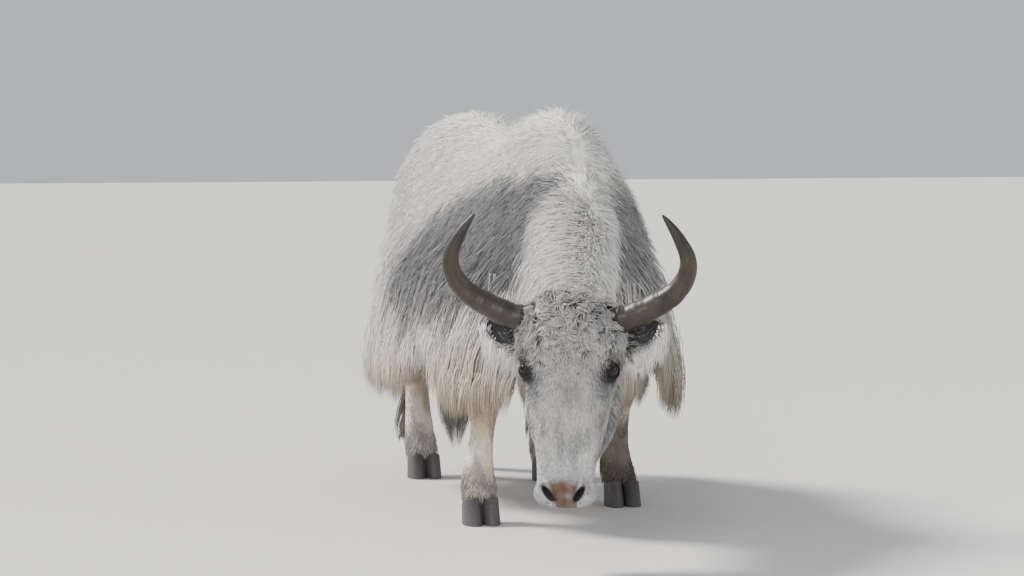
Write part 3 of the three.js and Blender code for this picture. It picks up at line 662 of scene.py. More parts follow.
@dataclass
class Markings:
    """Where each colour lies. Skin and hair read the same marks."""

    yak: Yak
    colours: CoatColours = field(default_factory=CoatColours)

    def patch(self, p: Array, side: Side) -> Array:
        """The grey saddle on one side, from the shoulder to the thigh."""
        reach, rear, depth = (640, 200, 215) if side is Side.RIGHT else (400, -20, 190)
        level = 790 - 0.2 * (p[:, 1] - rear)
        value = 1 - ((p[:, 1] - rear) / reach) ** 2 - ((p[:, 2] - level) / depth) ** 2
        value += 0.34 * cloud(p, 170, 3.0 + side.value)
        value += 0.16 * cloud(p, 40, 9.0)
        return smooth(-0.08, 0.42, value) * (p[:, 0] * side.value > 40)

    def colour(self, points: Array) -> Array:
        """The coat's colour at points, with some painted shade laid on the underside, legs and face.

        Args:
            points: places in millimetres in the animal's frame.

        Returns:
            Linear colours, one row a point.
        """
        c = self.colours
        p = points
        h = self.yak.head.into(p)
        x, y, z = p.T
        colour = np.tile(c.white.array(), (len(p), 1))

        def lay(shade: Shade, amount: Array) -> None:
            """Lays a shade over the coat."""
            nonlocal colour
            a = np.clip(amount, 0, 1)[:, None]
            colour = colour * (1 - a) + shade.array() * a

        soft = cloud(p, 60, 1.5)
        on_head = self.head_share(p)
        body = 1 - on_head
        # Cream under the trunk, strongest towards the front: partly the coat's own warm tint, partly painted shade and
        # painted ground-lit warmth of the underside.
        below = smooth(640, 380, z) * body
        lay(c.cream, (0.14 + 0.5 * smooth(620, 120, y)) * below * smooth(-0.6, 0.4, soft + 0.2))
        for side, strength in ((Side.RIGHT, 0.9), (Side.LEFT, 0.72)):
            lay(c.grey, strength * self.patch(p, side) * body)
        dark = smooth(0.1, 0.6, 1 - ((y + 210) / 130) ** 2 - ((z - 985) / 120) ** 2 + 0.5 * soft) * (np.abs(x) > 90)
        lay(c.dark, 0.5 * dark * body)
        leg = smooth(420, 340, z) * body * (y < 1180)
        # Cream on the lower legs: partly stained hair, partly painted shade.
        lay(c.cream, 0.35 * leg)
        lay(c.tan, 0.72 * smooth(110, 20, np.abs(z - 335)) * leg * smooth(0.7, -0.1, soft))
        cannon = smooth(300, 240, z + 20 * soft) * leg * smooth(0.1, 0.5, cloud(p * np.array([1, 1, 0.3]), 34, 6.0) + 0.3)
        lay(c.umber, 0.5 * cannon)
        lay(c.grey, 0.4 * smooth(190, 130, z + 30 * soft) * body)
        # The left foreleg darker below: partly its own brown hair, partly painted shade of the leg that stands further
        # back.
        left_fore = leg * (x > 150) * (y < 400)
        lay(c.umber, 0.78 * left_fore * smooth(330, 240, z + 40 * soft))
        tail = smooth(1236, 1262, y) * (np.abs(x) < 130) * smooth(820, 420, z)
        lay(c.grey, 0.75 * tail)
        colour = self.face(colour, h, on_head)
        return np.clip(colour, 0, 1)

    def head_share(self, p: Array) -> Array:
        """1 on the head and ears and 0 on the body, soft at the nape."""
        h = self.yak.head.into(p)
        return smooth(-232, -196, h[:, 1]) * smooth(-70, -40, h[:, 2]) * (p[:, 1] < -560)

    def crown(self, points: Array) -> Array:
        """The share of the forehead and poll at points, where hair curls."""
        h = self.yak.head.into(points)
        share = smooth(225, 185, h[:, 2]) * smooth(-170, -120, h[:, 1]) * smooth(165, 145, np.abs(h[:, 0]))
        return share * smooth(42, 62, self.yak.head.from_eye(h))

    def face(self, colour: Array, h: Array, on_head: Array) -> Array:
        """The face's marks over a coat's colours, partly painted shade on the face and cheeks."""
        c = self.colours
        x, y, z = h.T
        wide = np.abs(x)
        fine = cloud(h, 24, 5.0)
        streak = cloud(h * np.array([1.6, 1.0, 0.5]), 34, 8.0)

        def lay(shade: Shade, amount: Array) -> None:
            """Lays a shade over the face."""
            nonlocal colour
            a = np.clip(amount * on_head, 0, 1)[:, None]
            colour = colour * (1 - a) + shade.array() * a

        crown = smooth(210, 60, z) * smooth(-150, -40, y)
        # Grey over the whole face: partly the face's grey-white mix, partly painted shade that darkens the face as if
        # it stood in shade.
        lay(c.grey, 0.2 + 0.1 * smooth(-0.4, 0.4, fine))
        lay(c.grey, 0.62 * crown * smooth(0.0, 0.4, streak))
        lay(c.cream, 0.35 * smooth(0.0, 0.5, -streak) * smooth(420, 300, z))
        # Grey in streaks over the lower face: partly grey hair, partly painted shade.
        lay(c.grey, 0.5 * smooth(150, 240, z) * smooth(-0.2, 0.5, streak + 0.25 * fine))
        # Grey on the cheeks: partly grey hair, partly painted shade of the face's sides.
        side = smooth(56, 92, wide) * smooth(150, 240, z) * smooth(470, 400, z)
        lay(c.grey, 0.5 * side * smooth(-0.5, 0.35, streak))
        to_eye = self.yak.head.from_eye(h)
        lay(c.grey, 0.7 * smooth(70, 40, to_eye + 12 * fine))
        lay(c.rim, 0.97 * smooth(42, 29, to_eye + 4 * fine))
        brow = smooth(26, 8, np.abs(wide - 108 + 0.12 * (z - 150))) * smooth(95, 130, z) * smooth(186, 160, z)
        lay(c.dark, 0.55 * brow * smooth(-60, -20, y))
        lay(c.muzzle, 0.8 * smooth(400, 480, z + 14 * fine))
        lay(c.nose, (0.9 + 0.2 * fine) * self.nose_pad(h))
        lay(c.dark, 0.5 * smooth(5, 1.5, wide) * smooth(505, 530, z) * smooth(-100, -84, y))
        lay(c.umber, 0.6 * smooth(528, 546, z) * self.nose_pad(h))
        lip = smooth(12, 4, np.abs(y + 92)) * smooth(480, 520, z)
        lay(c.dark, 0.6 * lip)
        for s in (-1, 1):
            lay(c.dark, 0.97 * self.in_ear(h, s))
            lay(c.dark, 0.97 * smooth(2.2, 1.0, self.in_nostril(h, s)))
        behind = smooth(150, 172, wide) * (1 - np.maximum(self.in_ear(h, -1), self.in_ear(h, 1)))
        lay(c.grey, 0.5 * behind)
        return colour

    def nose_pad(self, h: Array) -> Array:
        """The bare, moist skin between and under the nostrils."""
        x, y, z = h.T
        wide = np.abs(x)
        edge = 40 - 0.16 * (z - 480) + 4 * np.sin(x * 0.09)
        return smooth(edge + 4, edge - 5, wide) * smooth(468, 496, z + 3 * np.cos(x * 0.11)) * smooth(-96, -84, y)

    def in_nostril(self, h: Array, s: int) -> Array:
        """Less than 1 inside a nostril's hollow."""
        place = Matrix.Translation((s * 40, -22, 514)) @ Matrix.Rotation(0.58, 4, "X")
        m = np.array((place @ Matrix.Rotation(s * -0.55, 4, "Y")).inverted())
        e = h @ m[:3, :3].T + m[:3, 3]
        return (e[:, 0] / 9.5) ** 2 + (e[:, 1] / 24) ** 2 + (e[:, 2] / 28) ** 2

    def in_ear(self, h: Array, s: int) -> Array:
        """How far inside an ear's cup points of the head lie."""
        m = np.array(self.yak.head.ear_matrix(s).inverted())
        e = h @ m[:3, :3].T + m[:3, 3]
        value = (e[:, 0] / 37) ** 2 + ((e[:, 1] - 17) / 26) ** 2 + ((e[:, 2] - 80) / 62) ** 2
        return smooth(1.16, 0.98, value)


# ---------------------------------------------------------------- finishes


@dataclass(frozen=True)
class Finish:
    """A plain surface: its gloss, and how its colour attribute is used."""

    name: str
    roughness: float
    specular: float = 0.5
    coat: float = 0.0
    sheen: float = 0.0

    def material(self) -> bpy.types.Material:
        """A material whose colour is the mesh's own Coat attribute."""
        made = bpy.data.materials.new(self.name)
        made.use_nodes = True
        tree = made.node_tree
        shader = tree.nodes["Principled BSDF"]
        shader.inputs["Roughness"].default_value = self.roughness
        shader.inputs["Specular IOR Level"].default_value = self.specular
        shader.inputs["Coat Weight"].default_value = self.coat
        shader.inputs["Coat Roughness"].default_value = 0.06
        shader.inputs["Sheen Weight"].default_value = self.sheen
        shader.inputs["Sheen Roughness"].default_value = 0.45
        colour = tree.nodes.new("ShaderNodeAttribute")
        colour.attribute_name = "Coat"
        tree.links.new(colour.outputs["Color"], shader.inputs["Base Color"])
        self.surface(tree, shader, colour)
        return made

    def surface(self, tree: bpy.types.NodeTree, shader: bpy.types.Node, colour: bpy.types.Node) -> None:
        """Adds nothing to a plain finish."""

    def bump(self, tree: bpy.types.NodeTree, shader: bpy.types.Node, height: bpy.types.NodeSocket, strength: float,
             distance: float) -> None:
        """Links a height to the surface's normal."""
        bump = tree.nodes.new("ShaderNodeBump")
        bump.inputs["Strength"].default_value = strength
        bump.inputs["Distance"].default_value = distance
        tree.links.new(height, bump.inputs["Height"])
        tree.links.new(bump.outputs["Normal"], shader.inputs["Normal"])

    def texture(self, tree: bpy.types.NodeTree, kind: str, scale: float,
                stretch: tuple[float, float, float] = (1, 1, 1)) -> bpy.types.Node:
        """A procedural texture on the piece's Object coordinates."""
        place = tree.nodes.new("ShaderNodeTexCoord")
        mapping = tree.nodes.new("ShaderNodeMapping")
        mapping.inputs["Scale"].default_value = stretch
        made = tree.nodes.new(kind)
        made.inputs["Scale"].default_value = scale
        tree.links.new(place.outputs["Object"], mapping.inputs["Vector"])
        tree.links.new(mapping.outputs["Vector"], made.inputs["Vector"])
        return made


@dataclass(frozen=True)
class SkinFinish(Finish):
    """Short hair lying flat, and the bare skin of the nose."""

    def surface(self, tree: bpy.types.NodeTree, shader: bpy.types.Node, colour: bpy.types.Node) -> None:
        """Adds the lie of the short hair as bump."""
        hairs = self.texture(tree, "ShaderNodeTexNoise", 420, (1, 1, 0.22))
        self.bump(tree, shader, hairs.outputs["Fac"], 0.5, 0.004)


@dataclass(frozen=True)
class HornFinish(Finish):
    """Keratin with fine streaks along it."""

    def surface(self, tree: bpy.types.NodeTree, shader: bpy.types.Node, colour: bpy.types.Node) -> None:
        """Adds streaks and scuffs."""
        grain = self.texture(tree, "ShaderNodeTexNoise", 160)
        grain.inputs["Detail"].default_value = 6
        self.bump(tree, shader, grain.outputs["Fac"], 0.35, 0.002)
        mix = tree.nodes.new("ShaderNodeMix")
        mix.data_type = "RGBA"
        mix.blend_type = "MULTIPLY"
        mix.inputs["Factor"].default_value = 0.5
        ramp = tree.nodes.new("ShaderNodeValToRGB")
        ramp.color_ramp.elements[0].color = (0.55, 0.5, 0.45, 1)
        ramp.color_ramp.elements[0].position = 0.35
        ramp.color_ramp.elements[1].position = 0.65
        tree.links.new(grain.outputs["Fac"], ramp.inputs["Fac"])
        tree.links.new(colour.outputs["Color"], mix.inputs[6])
        tree.links.new(ramp.outputs["Color"], mix.inputs[7])
        tree.links.new(mix.outputs[2], shader.inputs["Base Color"])


COAT = Finish("coat_hair", roughness=0.62, specular=0.28, sheen=0.25)
SKIN = SkinFinish("skin", roughness=0.8, specular=0.25)
HORN = HornFinish("horn_keratin", roughness=0.42, specular=0.45)
HOOF = HornFinish("hoof_keratin", roughness=0.6, specular=0.35)
EYE = Finish("wet_eye", roughness=0.1, specular=0.35)
FLOOR = Finish("floor_paint", roughness=0.9, specular=0.2)


def paint(made: bpy.types.Object, colours: Array) -> None:
    """Gives a mesh its Coat attribute.

    Args:
        made: the object.
        colours: linear colours, one row a vertex, or one for all.
    """
    count = len(made.data.vertices)
    rgba = np.ones((count, 4), np.float32)
    rgba[:, :3] = colours
    attribute = made.data.attributes.new("Coat", "FLOAT_COLOR", "POINT")
    attribute.data.foreach_set("color", rgba.ravel())


def points_of(made: bpy.types.Object) -> Array:
    """A mesh's points."""
    flat = np.empty(len(made.data.vertices) * 3, np.float32)
    made.data.vertices.foreach_get("co", flat)
    return flat.reshape(-1, 3).astype(float)


class Workshop:
    def __init__(self, origin: Vector) -> None:
        """Keeps where the animal stands."""
        self.origin = origin
        self.materials: dict[str, bpy.types.Material] = {}

    def material(self, finish: Finish) -> bpy.types.Material:
        """One material for each finish."""
        if finish.name not in self.materials:
            self.materials[finish.name] = finish.material()
        return self.materials[finish.name]

    def hand_over(self, made: bpy.types.Object, finish: Finish, slot: str, replaces: list[str] | None = None,
                  shade_smooth: bool = True) -> None:
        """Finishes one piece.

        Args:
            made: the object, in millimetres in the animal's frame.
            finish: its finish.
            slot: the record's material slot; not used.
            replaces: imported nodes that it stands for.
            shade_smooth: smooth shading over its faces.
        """
        made.data.transform(Matrix.Translation(self.origin) @ Matrix.Scale(MM, 4))
        made.data.materials.clear()
        made.data.materials.append(self.material(finish))
        smoothness = np.full(len(made.data.polygons), shade_smooth)
        made.data.polygons.foreach_set("use_smooth", smoothness)
        made.data.update()
        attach(made, ROOT_BODY)
        if replaces:
            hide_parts(*replaces)
        LOG.info("%s: %d faces", made.name, len(made.data.polygons))


# ---------------------------------------------------------------- skin


class Skin:
    """One skin over trunk, neck, legs, tail, head and ears."""

    FLESH = ("hump", "shoulder", "flank", "rump", "skirt", "upper_leg", "lower_leg", "neck", "tail", "head", "ear")

    def __init__(self, yak: Yak, markings: Markings) -> None:
        """Keeps the sizes and marks."""
        self.yak = yak
        self.markings = markings

    def build(self) -> bpy.types.Object:
        """Melts the body and the finer head, and joins them."""
        yak = self.yak
        flesh = [yak.trunk.form(), yak.neck.form(), yak.tail.form(), *yak.legs.forms()]
        made = melted("skin", flesh, 11.0, 6)
        head = melted("head_skin", yak.head.forms(), 4.0, 5)
        combine(head, yak.head.hollows(), "DIFFERENCE")
        form = bmesh.new()
        form.from_mesh(head.data)
        turned(form, yak.head.matrix)
        bpy.data.objects.remove(head)
        combine(made, form, "UNION")
        split = made.modifiers.new("triangles", "TRIANGULATE")
        split.quad_method = "BEAUTY"
        settle(made)
        self.unwrap(made)
        points = points_of(made)
        # The marks' colours, with painted shade darkening the skin under the crown's curls so the gaps between them
        # read dark.
        paint(made, self.markings.colour(points) * (1 - 0.4 * self.markings.crown(points)[:, None]))
        return made

    def unwrap(self, made: bpy.types.Object) -> None:
        """Gives the skin a map of its own shape."""
        bpy.context.view_layer.objects.active = made
        made.select_set(True)
        bpy.ops.object.mode_set(mode="EDIT")
        bpy.ops.mesh.select_all(action="SELECT")
        bpy.ops.uv.smart_project(angle_limit=math.radians(66), island_margin=0.002)
        bpy.ops.object.mode_set(mode="OBJECT")
        made.select_set(False)
        made.data.uv_layers[0].name = "OFBake"

    def nodes(self) -> list[str]:
        """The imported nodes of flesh."""
        return [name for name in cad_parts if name.startswith(self.FLESH)]


@dataclass
class SkinMap:
    """The skin's triangles as arrays, to root hair in."""

    corners: Array
    normals: Array
    uv: Array
    area: Array

    @classmethod
    def of(cls, made: bpy.types.Object) -> "SkinMap":
        """Reads a triangulated skin."""
        mesh = made.data
        points = points_of(made)
        loops = np.empty(len(mesh.loops), np.int32)
        mesh.loops.foreach_get("vertex_index", loops)
        triangles = loops.reshape(-1, 3)
        normals = np.empty(len(mesh.vertices) * 3, np.float32)
        mesh.vertices.foreach_get("normal", normals)
        uv = np.empty(len(mesh.loops) * 2, np.float32)
        mesh.uv_layers["OFBake"].data.foreach_get("uv", uv)
        corners = points[triangles]
        area = np.linalg.norm(np.cross(corners[:, 1] - corners[:, 0], corners[:, 2] - corners[:, 0]), axis=1) / 2
        return cls(corners, normals.reshape(-1, 3)[triangles].astype(float), uv.reshape(-1, 3, 2), area)

    def middles(self) -> Array:
        """Each triangle's middle."""
        return self.corners.mean(axis=1)

    def scatter(self, weight: Array, count: int, draw: np.random.Generator) -> "Roots":
        """Random roots.

        Args:
            weight: the density on each triangle.
            count: how many roots.
            draw: the seeded numbers.

        Returns:
            The roots.
        """
        share = np.cumsum(self.area * weight)
        pick = np.searchsorted(share, (np.arange(count) + draw.random(count)) / count * share[-1])
        pick = np.minimum(pick, len(share) - 1)
        a, b = draw.random((2, count))
        flip = a + b > 1
        a, b = np.where(flip, 1 - a, a), np.where(flip, 1 - b, b)
        w = np.stack([1 - a - b, a, b], axis=1)[:, :, None]
        return Roots(
            (self.corners[pick] * w).sum(axis=1),
            unit((self.normals[pick] * w).sum(axis=1)),
            (self.uv[pick] * w).sum(axis=1),
        )


@dataclass
class Roots:
    """Where tufts grow from: places, the skin's normals and places on its map."""

    at: Array
    normal: Array
    uv: Array

    def take(self, mask: Array) -> "Roots":
        """Some of the roots."""
        return Roots(self.at[mask], self.normal[mask], self.uv[mask])


# ---------------------------------------------------------------- hair


def nearest(points: Array, centres: Array) -> Array:
    """The index of the centre nearest each point."""
    tree = kdtree.KDTree(len(centres))
    for i, c in enumerate(centres):
        tree.insert(c, i)
    tree.balance()
    return np.array([tree.find(p)[1] for p in points])


@dataclass
class Tufts:
    """Many thin closed tufts: paths from root to tip, with a width each, and the painted shade that darkens their
    roots.
    """

    paths: Array
    width: Array
    out: Array
    colour: Array
    tip: Array
    uv: Array
    root_painted_shade: float = 0.8

    TAPER = {1: (1.0,), 2: (1.0, 0.78), 3: (0.85, 1.0, 0.62), 4: (0.8, 1.0, 0.85, 0.5)}

    def meshes(self, name: str, limit: int = 190_000) -> list[bpy.types.Object]:
        """Joined meshes of these tufts, each under a count of triangles."""
        steps = self.paths.shape[1] - 1
        each = 6 * (steps - 1) + 3 + 1
        pieces = max(1, math.ceil(len(self.paths) * each / limit))
        order = np.argsort(np.argsort(self.paths[:, 0, 1])) * pieces // len(self.paths)
        return [self.piece(f"{name}_{k + 1}", order == k) for k in range(pieces)]

    def piece(self, name: str, mask: Array) -> bpy.types.Object:
        """One joined mesh from arrays."""
        path, width, out = self.paths[mask], self.width[mask], self.out[mask]
        count, rings = len(path), path.shape[1] - 1
        way = unit(path[:, 1:] - path[:, :-1])
        across = unit(np.cross(out[:, None, :], way))
        lift = unit(np.cross(way, across))
        taper = np.array(self.TAPER[rings])[None, :, None]
        w = width[:, None, None] * taper * 0.5
        ring = np.stack([path[:, :-1] - across * w, path[:, :-1] + across * w, path[:, :-1] + lift * w * 0.7], axis=2)
        points = np.concatenate([ring.reshape(count, rings * 3, 3), path[:, -1:, :]], axis=1)
        size = rings * 3 + 1
        faces = [[0, 2, 1]]
        for r in range(rings - 1):
            for k in range(3):
                a, b = r * 3 + k, r * 3 + (k + 1) % 3
                faces += [[a, b, b + 3], [a, b + 3, a + 3]]
        for k in range(3):
            faces.append([(rings - 1) * 3 + k, (rings - 1) * 3 + (k + 1) % 3, size - 1])
        triangles = (np.array(faces)[None] + (np.arange(count) * size)[:, None, None]).reshape(-1, 3)
        mesh = bpy.data.meshes.new(name)
        mesh.vertices.add(count * size)
        mesh.vertices.foreach_set("co", points.astype(np.float32).ravel())
        mesh.loops.add(triangles.size)
        mesh.loops.foreach_set("vertex_index", triangles.astype(np.int32).ravel())
        mesh.polygons.add(len(triangles))
        mesh.polygons.foreach_set("loop_start", np.arange(0, triangles.size, 3, dtype=np.int32))
        mesh.update(calc_edges=True)
        made = bpy.data.objects.new(name, mesh)
        bpy.context.scene.collection.objects.link(made)
        level = np.concatenate([np.repeat(np.arange(rings) / rings, 3), [1.0]])
        # Painted shade: each tuft is darker towards its root, for the shade that falls between tufts.
        shade = (self.root_painted_shade + (1 - self.root_painted_shade) * np.sqrt(level))[None, :, None]
        level_share = level[None, :, None]
        colour = self.colour[mask][:, None, :] * (1 - level_share) + self.tip[mask][:, None, :] * level_share
        paint(made, (colour * shade).reshape(-1, 3))
        local = np.stack([np.tile([0, 1, 0.5], rings), level[:-1]], axis=1)
        local = np.vstack([local, [0.5, 1.0]]) * 0.003 - 0.0015
        uv = (self.uv[mask][:, None, :] + local[None]).reshape(-1, 2)[triangles.ravel()]
        layer = mesh.uv_layers.new(name="OFBake")
        layer.data.foreach_set("uv", np.clip(uv, 0, 1).astype(np.float32).ravel())
        return made


@dataclass
class Lie:
    """How hair lies at each root."""

    flow: Array
    length: Array
    lift: Array
    width: Array
    curl: Array
    sag: Array


class Coat:
    """All hair: body, head, legs, skirt, tail and ear fringes."""

    def __init__(self, yak: Yak, markings: Markings, skin: bpy.types.Object) -> None:
        """Reads the skin's map."""
        self.yak = yak
        self.markings = markings
        self.map = SkinMap.of(skin)
        self.draw = np.random.default_rng(SEED)

    def tint(self, at: Array, stray: float, spread: float = 0.1) -> Array:
        """The marks' colour, with edges that mix over a distance and each tuft a little lighter or darker."""
        base = self.markings.colour(at + self.draw.normal(0, 1, at.shape) * stray)
        return base * (1 + spread * (self.draw.random((len(at), 1)) - 0.5) * 2)

    def comb(self, roots: Roots, lie: Lie, steps: int, clumps: int, pull: float, stray: float,
             root_painted_shade: float, sunk: float = 2.5) -> Tufts:
        """Bends tufts along their lie and draws them into clumps.

        Args:
            roots: where they grow.
            lie: how they lie.
            steps: lengths in each tuft.
            clumps: how many tufts share a clump.
            pull: how far tips come together, from 0 to 1.
            stray: how far the marks' edges mix, in millimetres.
            root_painted_shade: painted shade at the roots, how bright they are against the tips, standing in for the
                shade between tufts.
            sunk: how far under the skin the roots start.

        Returns:
            The tufts.
        """
        n = roots.normal
        flow = unit(lie.flow - n * (lie.flow * n).sum(axis=1, keepdims=True))
        across = np.cross(n, flow)
        jitter = self.draw.normal(0, 0.12, (len(n), 1))
        flow = unit(flow + across * jitter)
        phase = self.draw.random((len(n), 1)) * 2 * np.pi
        t = np.linspace(0, 1, steps + 1)[None, :, None]
        length, lift = lie.length[:, None, None], lie.lift[:, None, None]
        path = roots.at[:, None, :] - n[:, None, :] * sunk
        path = path + flow[:, None, :] * length * t * np.sqrt(1 - lift**2 * 0.8)
        path = path + n[:, None, :] * length * lift * (1.5 * t - 0.55 * t**2)
        sag = (lie.sag * (1 - np.clip(n[:, 2], 0, 1)))[:, None, None]
        path = path - np.array([0, 0, 1.0]) * sag * length * t**2
        wave = np.sin(t * 5.2 + phase[:, None, :]) - np.sin(phase[:, None, :])
        path = path + across[:, None, :] * lie.curl[:, None, None] * wave
        wave = np.cos(t * 3.4 + phase[:, None, :]) - np.cos(phase[:, None, :])
        path = path + n[:, None, :] * lie.curl[:, None, None] * 0.5 * wave
        centres = self.draw.choice(len(n), max(1, len(n) // clumps), replace=False)
        own = centres[nearest(roots.at, roots.at[centres])]
        same = ((flow * flow[own]).sum(axis=1) > 0.5)[:, None, None]
        path = path + (path[own] - path) * pull * t**1.4 * same
        colour = self.tint(roots.at, stray)
        return Tufts(path, lie.width, n, colour, colour, roots.uv, root_painted_shade)

    def body_lie(self, roots: Roots) -> Lie:
        """The trunk's and neck's hair: down and back, longer below and on the crest."""
        p, n = roots.at, roots.normal
        x, y, z = p.T
        s = np.tanh((x + 34 * cloud(p, 130, 15.0) + 30 * (self.draw.random(len(p)) - 0.5)) / 26)
        on_neck = smooth(-260, -420, y)
        low = smooth(900, 690, z) * (1 - on_neck)
        flow = np.stack([s * 0.25, 0.45 - 0.36 * low, np.full(len(p), -0.85)], axis=1)
        back = smooth(0.55, 0.9, n[:, 2])[:, None]
        flow = flow * (1 - back) + np.stack([s * 0.9, np.full(len(p), 0.75), np.full(len(p), -0.2)], axis=1) * back
        neck_flow = np.stack([s * 0.55, np.full(len(p), 0.1), np.full(len(p), -0.85)], axis=1)
        flow = flow * (1 - on_neck[:, None]) + neck_flow * on_neck[:, None]
        flow += 0.30 * np.stack([cloud(p, 90, 20.0), cloud(p, 90, 30.0), cloud(p, 90, 40.0)], axis=1)
        crest = np.maximum(smooth(1080, 1150, z) * smooth(420, 200, y), on_neck * smooth(0.2, 0.8, n[:, 2]))
        loose = self.draw.random(len(p)) > 0.84
        length = 36 + 16 * crest + 72 * low + 14 * on_neck + 8 * cloud(p, 60, 50.0)
        length = length * (1 + 0.4 * loose)
        lift = 0.17 + 0.14 * crest + 0.06 * cloud(p, 45, 60.0) + (0.2 + 0.2 * self.draw.random(len(p))) * loose
        width = 4.6 + 0.4 * low
        return Lie(flow, length, np.clip(lift, 0.08, 0.6), width, 1.6 + 2.6 * crest, np.full(len(p), 0.12))

    def head_lie(self, roots: Roots) -> Lie:
        """The face's hair: curls on the crown, short below, next to none at the nose."""
        h = self.yak.head.into(roots.at)
        x, y, z = h.T
        wide = np.abs(x)
        n = self.yak.head.out_way(np.eye(3))
        spread = np.clip(x / 120, -1, 1)[:, None]
        whorl = np.exp(-((z - 235) / 70) ** 2)[:, None]
        flow = n[2][None] * 1.0 + n[0][None] * spread * (0.3 + 0.9 * whorl)
        swirl = np.stack([cloud(h, 26, 70.0), np.zeros(len(h)), cloud(h, 26, 80.0)], axis=1)
        crown = smooth(205, 120, z) * smooth(-170, -70, y) * smooth(175, 140, wide)
        flow = flow + self.yak.head.out_way(swirl) * (0.35 + 2.4 * crown[:, None])
        ear = smooth(150, 172, wide) * smooth(220, 190, z)
        s = np.sign(x)[:, None]
        away = n[0][None] * s * 0.8 - n[2][None] * 0.5
        flow = flow * (1 - ear[:, None]) + away * ear[:, None]
        throat = smooth(-90, -150, y)
        length = 14 + 20 * crown + 8 * smooth(330, 200, z) + 18 * throat * smooth(420, 300, z)
        length = length * (1 - 0.4 * smooth(360, 460, z)) * (1 - 0.35 * ear)
        length = length * (0.45 + 0.55 * smooth(24, 60, self.yak.head.from_eye(h)))
        lift = 0.22 + 0.3 * crown + 0.08 * cloud(h, 20, 90.0)
        width = 3.0 + 0.8 * crown - 0.8 * smooth(360, 460, z)
        curl = 0.8 + 5.4 * crown
        return Lie(flow, length, np.clip(lift, 0.08, 0.7), width, curl, 0.08 + 0.1 * crown)

    def leg_lie(self, roots: Roots) -> Lie:
        """The legs' hair: down, shaggy above the knee and short below."""
        p = roots.at
        z = p[:, 2]
        flow = np.tile([0.0, 0.15, -1.0], (len(p), 1))
        upper = smooth(300, 400, z)
        pastern = smooth(170, 130, z) * smooth(60, 90, z)
        length = 20 + 36 * upper + 14 * pastern
        lift = 0.16 + 0.08 * upper + 0.1 * pastern
        return Lie(flow, length, lift, 3.8 + 1.8 * upper, 0.8 + 1.6 * upper, np.full(len(p), 0.1))

    def regions(self) -> dict[str, Array]:
        """The share of each skin triangle that belongs to the head, the legs and the body."""
        p = self.map.middles()
        head = self.markings.head_share(p) > 0.5
        leg = (p[:, 2] < 455) & ~head & (p[:, 1] > -260) & (p[:, 1] < 1230)
        dock = (p[:, 1] > 1215) & (np.abs(p[:, 0]) < 60) & ~head
        return {"head": head, "leg": leg, "dock": dock, "body": ~(head | leg | dock)}

    def build(self) -> list[bpy.types.Object]:
        """Every coat piece."""
        area = self.regions()
        middles = self.map.middles()
        pieces = []
        long_share = np.maximum(smooth(900, 720, middles[:, 2]), smooth(-260, -420, middles[:, 1]))
        # The argument after the stray distance in each comb is the painted root shade; the crown's curls get the
        # darkest, for the shade in their gaps.
        roots = self.map.scatter(area["body"] * (0.5 + 0.7 * long_share), 36_000, self.draw)
        pieces += self.comb(roots, self.body_lie(roots), 2, 6, 0.4, 20, 0.9).meshes("coat_body_long")
        roots = self.map.scatter(area["body"] * (1 - 0.72 * long_share), 62_000, self.draw)
        pieces += self.comb(roots, self.body_lie(roots), 1, 8, 0.4, 20, 0.92).meshes("coat_body_short")
        crown = self.markings.crown(middles)
        roots = self.map.scatter(area["head"] * crown * self.head_weight(), 10_000, self.draw)
        pieces += self.comb(roots, self.head_lie(roots), 3, 9, 0.74, 5, 0.26, 1.0).meshes("coat_head_curls")
        roots = self.map.scatter(area["head"] * (1 - crown) * self.head_weight(), 16_000, self.draw)
        pieces += self.comb(roots, self.head_lie(roots), 2, 5, 0.3, 6, 0.8, 0.8).meshes("coat_head_face")
        weight = area["leg"] * (0.55 + 0.6 * smooth(360, 260, middles[:, 2])) * smooth(48, 70, middles[:, 2])
        roots = self.map.scatter(weight, 11_000, self.draw)
        pieces += self.comb(roots, self.leg_lie(roots), 2, 5, 0.3, 10, 0.85).meshes("coat_legs")
        pieces += self.skirt().meshes("coat_skirt")
        pieces += self.feathers().meshes("coat_feathers")
        pieces += self.brisket().meshes("coat_brisket")
        pieces += self.tail().meshes("coat_tail")
        pieces += self.fringe().meshes("coat_ears")
        return pieces

    def head_weight(self) -> Array:
        """How dense hair grows on the head's triangles."""
        h = self.yak.head.into(self.map.middles())
        x, y, z = h.T
        bare = smooth(0.3, 0.6, self.markings.nose_pad(h))
        lips = (z > 505) & (y < -60) & (y > -120)
        inner = np.maximum(self.markings.in_ear(h, -1), self.markings.in_ear(h, 1))
        hole = np.minimum(self.markings.in_nostril(h, -1), self.markings.in_nostril(h, 1))
        weight = (1 + 0.5 * smooth(120, 220, z)) * smooth(23, 33, self.yak.head.from_eye(h)) * (1 - 0.75 * inner)
        return weight * (1 - bare) * smooth(1.4, 2.2, hole) * np.where(lips, 0.35, 1.0)

